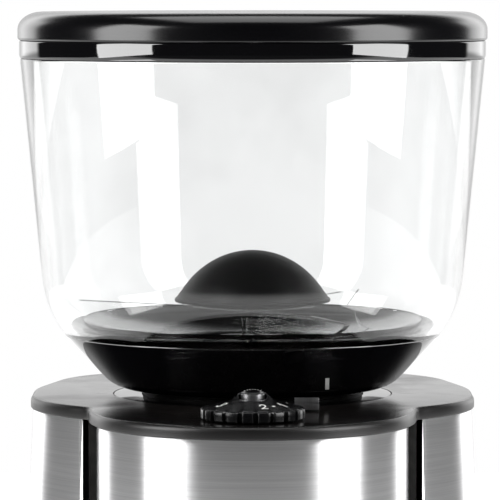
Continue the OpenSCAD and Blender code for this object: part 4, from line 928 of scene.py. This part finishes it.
def dial():
    """The dial: a fluted rim, a shallow cone for the numbers and a hollow hub with a slanted knurled rim."""
    turns = 400
    rim_rows = [(6 * mm, 0), (dial_radius - 0.5 * mm, 0), (dial_radius, 0.5 * mm), (dial_radius, 1.8 * mm),
                (dial_radius, 3.1 * mm), (dial_radius - 0.2 * mm, 3.55 * mm),
                (dial_radius - 0.7 * mm, 3.8 * mm), (cone_foot_r, cone_foot_h),
                (15 * mm, 4.17 * mm), (12 * mm, 4.97 * mm), (9 * mm, 5.77 * mm)]
    shape = bmesh.new()
    rings = []
    for i in range(turns):
        angle = 2 * pi * i / turns
        from_groove = abs((degrees(angle) + 90 - flute_turn) * flutes / 360 % 1)
        from_groove = min(from_groove, 1 - from_groove)
        groove = flute_depth * (0.5 + 0.5 * cos(pi * min(1, max(0, (from_groove - 0.07) / 0.12))))
        knurl = 0.3 * mm * (i // 4 % 2)
        ring = []
        for radius, height in rim_rows:
            share = min(1.0, max(0.0, (radius - 15 * mm) / (1.8 * mm)))
            reach = radius - groove * share
            ring.append(shape.verts.new((reach * cos(angle), reach * sin(angle), dial_z + height)))
        out, top = hub_rim(angle)
        well = min(out - 0.9 * mm, 4.6 * mm)
        hub = [(cone_top_r, cone_top_h), ((cone_top_r + out) / 2, (cone_top_h + top) / 2),
               (out - knurl, top - 0.4 * mm), (out - 0.2 * mm - knurl, top), (out - 0.7 * mm, top),
               (out - 0.9 * mm, top - 0.3 * mm), (well, eye_floor), (2.9 * mm, eye_floor),
               (2.9 * mm, 3 * mm), (6 * mm, 3 * mm)]
        ring += [shape.verts.new((reach * cos(angle), reach * sin(angle), dial_z + height))
                 for reach, height in hub]
        rings.append(ring)
    for ring, following in zip(rings, rings[1:] + rings[:1]):
        for k, here in enumerate(ring):
            near = (k + 1) % len(ring)
            shape.faces.new((here, following[k], following[near], ring[near]))
    bmesh.ops.recalc_face_normals(shape, faces=shape.faces[:])
    bmesh.ops.translate(shape, verts=shape.verts[:], vec=dial_axis)
    show("dial_moulding", shape, dial_gloss, ["grind_dial"], crease=42)


def hub_screw():
    """The slotted screw in the dial's hub."""
    top = dial_z + eye_floor + 0.8 * mm
    head = turned(eased(oblong(0, 3.2 * mm, top - 1.3 * mm, top), 0.3 * mm), dial_axis, 48)
    half = 0.5 * mm
    slit = block((-6 * mm, dial_y - half, top - 0.7 * mm), (6 * mm, dial_y + half, top + 1 * mm))
    show("hub_screw", cut(head, slit), olive_zinc, ["dial_screw"])


strokes = {
    "1": [[(-0.45, 0.62), (0.05, 1.0), (0.05, 0.0)]],
    "2": [[(-0.8, 0.72), (-0.6, 0.92), (0.0, 1.0), (0.6, 0.92), (0.8, 0.70), (0.6, 0.46),
           (-0.8, 0.0), (0.85, 0.0)]],
    "3": [[(-0.8, 0.85), (-0.3, 1.0), (0.35, 0.99), (0.75, 0.78), (0.45, 0.56), (-0.1, 0.52)],
          [(-0.1, 0.52), (0.55, 0.46), (0.85, 0.24), (0.4, 0.02), (-0.3, 0.0), (-0.85, 0.15)]],
    "4": [[(0.4, 0.0), (0.4, 1.0), (-0.85, 0.3), (0.85, 0.3)]],
    "5": [[(0.7, 1.0), (-0.6, 1.0), (-0.7, 0.55), (0.1, 0.62), (0.75, 0.42), (0.6, 0.12),
           (0.0, 0.0), (-0.75, 0.1)]],
    ".": [[(-0.12, 0.45), (0.12, 0.45)]],
}
dial_marks = [("3", -64), ("2", 18), (".", 37), ("1", 60), (".", 100), ("5", 140), (".", 180), ("4", 220)]


def printed_stroke(shape, start, end, width, lay):
    """One flat bar of a printed figure, laid on the dial."""
    along = (end - start).normalized() * width / 2
    aside = Vector((-along.y, along.x))
    corners = [start - along + aside, start - along - aside, end + along - aside, end + along + aside]
    top = [shape.verts.new(lay(corner, 0.03 * mm)) for corner in corners]
    foot = [shape.verts.new(lay(corner, -0.2 * mm)) for corner in corners]
    shape.faces.new(top)
    shape.faces.new(foot[::-1])
    for k in range(4):
        near = (k + 1) % 4
        shape.faces.new((top[k], foot[k], foot[near], top[near]))


def dial_print_and_painted_glints():
    """The white figures printed round the dial's cone, and white ticks on the hub's back rim that are painted
    glints of the knurl teeth.
    """
    shape = bmesh.new()
    slope = Vector((cone_top_r - cone_foot_r, cone_top_h - cone_foot_h))
    up_cone = slope.normalized()
    off_cone = Vector((up_cone.y, -up_cone.x))
    foot = Vector((cone_foot_r, cone_foot_h)) + up_cone * 2.7 * mm
    for figure, turn in dial_marks:
        def lay(point, depth):
            section = foot + up_cone * point.y + off_cone * depth
            angle = radians(turn - 90) + point.x / section.x
            return dial_axis + Vector((section.x * cos(angle), section.x * sin(angle), dial_z + section.y))
        for stroke in strokes[figure]:
            points = [Vector((x * 1.15 * mm, y * 3.7 * mm)) for x, y in stroke]
            for start, end in zip(points, points[1:]):
                printed_stroke(shape, start, end, (0.8 if figure == "." else 0.5) * mm, lay)
    # White ticks along the hub's back rim: painted glints standing for light caught by the knurl teeth, in
    # the same white as the printed figures.
    for turn in range(-42, 43, 14):
        out, top = hub_rim(radians(90 + turn))

        def lay_glint_on_rim(point, depth):
            angle = radians(90 + turn) + point.x / out
            reach = out - 0.45 * mm + point.y
            return dial_axis + Vector((reach * cos(angle), reach * sin(angle), dial_z + top + depth))
        printed_stroke(shape, Vector((0, -0.05 * mm)), Vector((0, 0.05 * mm)), 0.42 * mm, lay_glint_on_rim)
    bmesh.ops.recalc_face_normals(shape, faces=shape.faces[:])
    show("dial_print_and_painted_glints", shape, print_and_glint_white, ["grind_dial"])


def pointer():
    """The bent steel tab behind the dial, with a nose along the plate towards the scale."""
    low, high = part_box("dial_pointer")
    tab_sheet = 0.9 * mm
    face_y = high.y - 6 * mm
    left, right = 14.5 * mm, high.x
    foot = block((left, face_y, low.z), (right, high.y, low.z + tab_sheet), 0.08 * mm)
    face = block((left, face_y, low.z + 0.8 * mm), (right, face_y + tab_sheet, high.z), 0.08 * mm)
    groove = block((left - 1 * mm, face_y - 1 * mm, high.z - 2.2 * mm),
                   (right + 1 * mm, face_y + 0.5 * mm, high.z - 1.6 * mm))
    towards = Vector((left + 2 * mm, face_y - dial_y)).normalized()
    tip = Vector((0, dial_y)) + (dial_radius + 0.8 * mm) * towards
    nose_back = face_y + tab_sheet / 2
    plan = [(left, nose_back), tip, tip + Vector((0.6, 0.2)) * mm, (left + 4.2 * mm, nose_back)]
    nose = raised(plan, low.z, low.z + tab_sheet, 0.15 * mm, 0, 2)
    show("pointer_tab", cut(face, groove), bright_steel, ["dial_pointer"])
    # The foot and nose are the same bent steel as the tab, shown in the near-black dome satin: painted shade
    # at the tab's base where it meets the plate.
    show("pointer_foot", joined(foot, nose), dome_satin, ["dial_pointer"])


# ---------- Covers, column and panels ----------

def strip(outer, thickness, low, high, scale=1.0, ease=0.35 * mm):
    """A sheet of even thickness along an open plan line, its foot spread sideways by a scale."""
    inner = []
    for i, point in enumerate(outer):
        along = (outer[min(i + 1, len(outer) - 1)] - outer[max(i - 1, 0)]).normalized()
        inner.append(point + thickness * Vector((-along.y, along.x)))
    loop = outer + inner[::-1]
    shape = bmesh.new()
    foot = [shape.verts.new((point.x * scale, point.y, low)) for point in loop]
    top = [shape.verts.new((point.x, point.y, high)) for point in loop]
    last = len(outer) - 1
    for k in range(len(loop)):
        near = (k + 1) % len(loop)
        shape.faces.new((foot[k], foot[near], top[near], top[k]))
    for ring in (foot, top):
        for k in range(last):
            shape.faces.new((ring[k], ring[k + 1], ring[-k - 2], ring[-k - 1]))
    bmesh.ops.recalc_face_normals(shape, faces=shape.faces[:])
    if ease:
        round_edges(shape, sharp_edges(shape, 60), ease, 2)
    return shape


def side_cover(node, side):
    """One folded side cover, flared towards its foot, with a short return behind its front edge."""
    low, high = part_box(node)
    line = [point for point in wrapped(housing_circles, cover_inset, -80, 86, 2) if point.x > 34 * mm]
    shell = strip(line, sheet, low.z, high.z, flare, 0)
    in_front = block((0, low.y - 20 * mm, low.z - 5 * mm), (cover_edge, burr_y, high.z + 5 * mm))
    behind = block((0, burr_y, low.z - 5 * mm), (40.3 * mm, high.y + 20 * mm, high.z + 5 * mm))
    shell = cut(shell, in_front, behind)
    round_edges(shell, sharp_edges(shell, 60), 0.4 * mm, 2)
    edge = [v.co for v in shell.verts if abs(v.co.x - cover_edge) < 0.5 * mm]
    foot_y = min(co.y for co in edge if co.z < low.z + 2 * mm) + 0.9 * mm
    top_y = min(co.y for co in edge if co.z > high.z - 2 * mm) + 0.9 * mm
    profile = [(foot_y, low.z + 0.5 * mm), (top_y, high.z - 0.5 * mm),
               (top_y + fold_depth, high.z - 0.5 * mm), (foot_y + fold_depth, low.z + 0.5 * mm)]
    fold = pulled([(cover_edge + 0.1 * mm, y, z) for y, z in profile], (sheet, 0, 0))
    shape = together(shell, fold)
    if side < 0:
        bmesh.ops.scale(shape, vec=(-1, 1, 1), verts=shape.verts[:])
        bmesh.ops.recalc_face_normals(shape, faces=shape.faces[:])
    show(node + "_sheet", shape, brushed, [node], crease=35)


def column():
    """The brushed front column above the spout."""
    bend = front_line(lobe_reach, column_round, burr_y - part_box("front_column")[1].y, 72)
    line = [bend[-1]] + bend[:-1]
    low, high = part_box("front_column")
    show("column_sheet", strip(line, sheet, low.z, high.z), brushed, ["front_column"], crease=35)


def laid_back(shape, x, z):
    """An upright shape on the origin laid from front to back at a place on the panel."""
    return move(shape, Matrix.Translation((x, 0, z)) @ Matrix.Rotation(radians(-90), 4, "X"))


def across(x, z, radius, near, far):
    """A rod lying from front to back."""
    return laid_back(rod((0, 0), radius, near, far), x, z)


button_x, rocker_x, control_z = -44 * mm, 44 * mm, 122 * mm
fork_screw_x, fork_screw_z = 26 * mm, 96 * mm


def front_panel():
    """The black panel behind the column, cut out for the chamber, the controls and the fork's screws."""
    low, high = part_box("front_panel")
    near, far = low.y - 5 * mm, high.y + 5 * mm
    chamber_half, chamber_foot = 49 * mm, 146 * mm
    rocker_half, rocker_rise = 7 * mm, 11 * mm
    button_hole, screw_hole = 7.65 * mm, 2.2 * mm
    holes = [block((-chamber_half, near, chamber_foot), (chamber_half, far, high.z - 4 * mm)),
             across(button_x, control_z, button_hole, near, far),
             block((rocker_x - rocker_half, near, control_z - rocker_rise),
                   (rocker_x + rocker_half, far, control_z + rocker_rise))]
    holes += [across(x, fork_screw_z, screw_hole, near, far) for x in (fork_screw_x, -fork_screw_x)]
    show("panel_sheet", cut(block(low, high, 0.5 * mm), *holes), panel_matt, ["front_panel"])


def softened(name, node, ease, finish=None, sharpest=60, crease=30):
    """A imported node's own form with its sharp edges rounded."""
    shape = copy_of(node)
    bmesh.ops.dissolve_limit(shape, angle_limit=radians(1), verts=shape.verts[:], edges=shape.edges[:])
    round_edges(shape, sharp_edges(shape, sharpest), ease, 2)
    show(name, shape, finish or finishes[slot_of[node]], [node], crease)


def start_button():
    """The round start button with a dished face."""
    low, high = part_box("start_button")
    face, back = low.y, high.y
    radius = 7.5 * mm
    flange = (high.x - low.x) / 2
    panel_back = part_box("front_panel")[1].y
    section = [(0, back), (flange, back), (flange, panel_back + 0.4 * mm), (radius, panel_back + 0.4 * mm),
               (radius, face), (radius - 1.1 * mm, face), (4 * mm, face + 0.5 * mm), (0, face + 0.8 * mm)]
    shape = turned(eased(section, 0.5 * mm, 8), Vector((0, 0, 0)), 72)
    cap = laid_back(shape, button_x, control_z)
    show("button_cap", cap, finishes[slot_of["start_button"]], ["start_button"])


def button_coil():
    """The start button's return spring, shown with a mesh of its own; the real spring closes up as the button
    is pressed.
    """
    finish = finishes[slot_of["button_spring"]]
    piece = show("button_coil", copy_of("button_spring"), finish, ["button_spring"])
    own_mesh(piece)


for make in (hopper_wall, lid_band, bowl, index_mark, guard, dome, lid, collar, trim, plate, screws,
             dial, hub_screw, dial_print_and_painted_glints, pointer):
    make()
side_cover("side_cover_right", 1)
side_cover("side_cover_left", -1)
column()
front_panel()
softened("rear_moulding", "rear_cover", 0.3 * mm, satin_black)
start_button()
button_coil()
softened("rocker_cap", "power_rocker", 0.35 * mm, sharpest=50, crease=40)
for name, node, ease in (("rocker_frame", "rocker_switch_body", 0.4), ("inlet_body", "mains_inlet", 0.4),
                         ("spout_body", "spout_housing", 0.5), ("fork", "portafilter_fork", 0.5),
                         ("fork_bolts", "fork_screws", 0.25), ("foot_plate", "base_plate", 0.6),
                         ("rubber_feet", "feet", 0.8), ("tray_pan", "tray", 0.5),
                         ("tray_bars", "tray_grille", 0.4)):
    softened(name, node, ease * mm)

# ---------- Room, camera and light ----------
world = bpy.data.worlds.new("studio")
bpy.context.scene.world = world
world.use_nodes = True
sky = world.node_tree
sky.nodes.clear()
way = sky.nodes.new("ShaderNodeTexCoord").outputs["Generated"]
aim = add(sky, "ShaderNodeSeparateXYZ", {0: way}).outputs
seen = sky.nodes.new("ShaderNodeLightPath").outputs
dark_room = 0.025
below_top = between(sky, aim["Z"], 0.52, 0.34)
low_sides = between(sky, aim["Z"], -0.11, -0.05, 0.0, 1.6)
aside = sums(sky, "MULTIPLY", between(sky, aim["Y"], 0.97, 0.88), low_sides)
mirrored = sums(sky, "MULTIPLY", between(sky, aim["Y"], 0.62, 0.69), sums(sky, "ADD", aside, 1.0))
through = between(sky, aim["Y"], -0.3, 0.1)
beyond = blend(sky, seen["Is Transmission Ray"], mirrored, through)
room = part_plus(sky, beyond, below_top, dark_room)
tone = blend(sky, seen["Is Camera Ray"], room, 1.0)
background = add(sky, "ShaderNodeBackground", {"Color": tone, "Strength": 1.0})
sky.links.new(background.outputs[0], sky.nodes.new("ShaderNodeOutputWorld").inputs["Surface"])


def studio_floor():
    """A pale round floor that keeps the object's shadow and fades to white away from it."""
    shape = bmesh.new()
    bmesh.ops.create_circle(shape, cap_ends=True, radius=1.7, segments=96)
    floor = as_object("studio_floor", shape)
    finish = bpy.data.materials.new("floor")
    finish.use_nodes = True
    tree = finish.node_tree
    tree.nodes.clear()
    here = tree.nodes.new("ShaderNodeTexCoord").outputs["Object"]
    away = vector_math(tree, "LENGTH", {0: here}, "Value")
    depth = add(tree, "ShaderNodeSeparateXYZ", {0: here}).outputs["Y"]
    seen = tree.nodes.new("ShaderNodeLightPath").outputs["Is Camera Ray"]
    lit = sums(tree, "MAXIMUM", seen, between(tree, depth, -1.0, -0.6, 0.05, 1.25))
    fade = blend(tree, seen, between(tree, away, 0.12, 0.4), between(tree, away, 0.26, 0.60))
    pale = add(tree, "ShaderNodeBsdfDiffuse", {"Color": (0.80, 0.80, 0.80, 1)}).outputs[0]
    white = add(tree, "ShaderNodeEmission", {"Color": (1, 1, 1, 1), "Strength": lit}).outputs[0]
    mixed = add(tree, "ShaderNodeMixShader", {0: fade, 1: pale, 2: white}).outputs[0]
    tree.links.new(mixed, tree.nodes.new("ShaderNodeOutputMaterial").inputs["Surface"])
    floor.data.materials.append(finish)


def softbox(name, place_at, aim, width, height, radiance):
    """A soft rectangular lamp given by how bright its face is."""
    lamp = bpy.data.lights.new(name, "AREA")
    lamp.shape = "RECTANGLE"
    lamp.size, lamp.size_y = width, height
    lamp.energy = radiance * pi * width * height
    made = bpy.data.objects.new(name, lamp)
    made.location = place_at
    made.rotation_euler = (Vector(aim) - Vector(place_at)).to_track_quat("-Z", "Y").to_euler()
    made.visible_camera = False
    bpy.context.scene.collection.objects.link(made)
    return made


studio_floor()
box_x, box_y, box_z = 0.385, -0.215, 0.50
low_box_y, low_box_z = box_y + 0.02, 0.09
side_radiance, low_radiance = 7.0, 4.3
for name, side in (("left", -box_x), ("right", box_x)):
    softbox("softbox_" + name, (side, box_y, box_z), (0, box_y, box_z), 0.26, 0.45, side_radiance)
    softbox("low_softbox_" + name, (side, low_box_y, low_box_z), (0, low_box_y, low_box_z),
            0.22, 0.13, low_radiance)
softbox("overhead", (0, 0.35, 2.0), (0, 0.2, 0), 1.2, 1.5, 2.4)

lens = bpy.data.cameras.new("lens")
lens.lens = 288.5
lens.sensor_width = 36
camera = bpy.data.objects.new("camera", lens)
camera.location = (-0.0009, -1.414, 0.379)
downwards = 3.776
camera.rotation_euler = (radians(90 - downwards), 0, 0)
bpy.context.scene.collection.objects.link(camera)
bpy.context.scene.camera = camera
bpy.context.scene.view_settings.view_transform = "Standard"
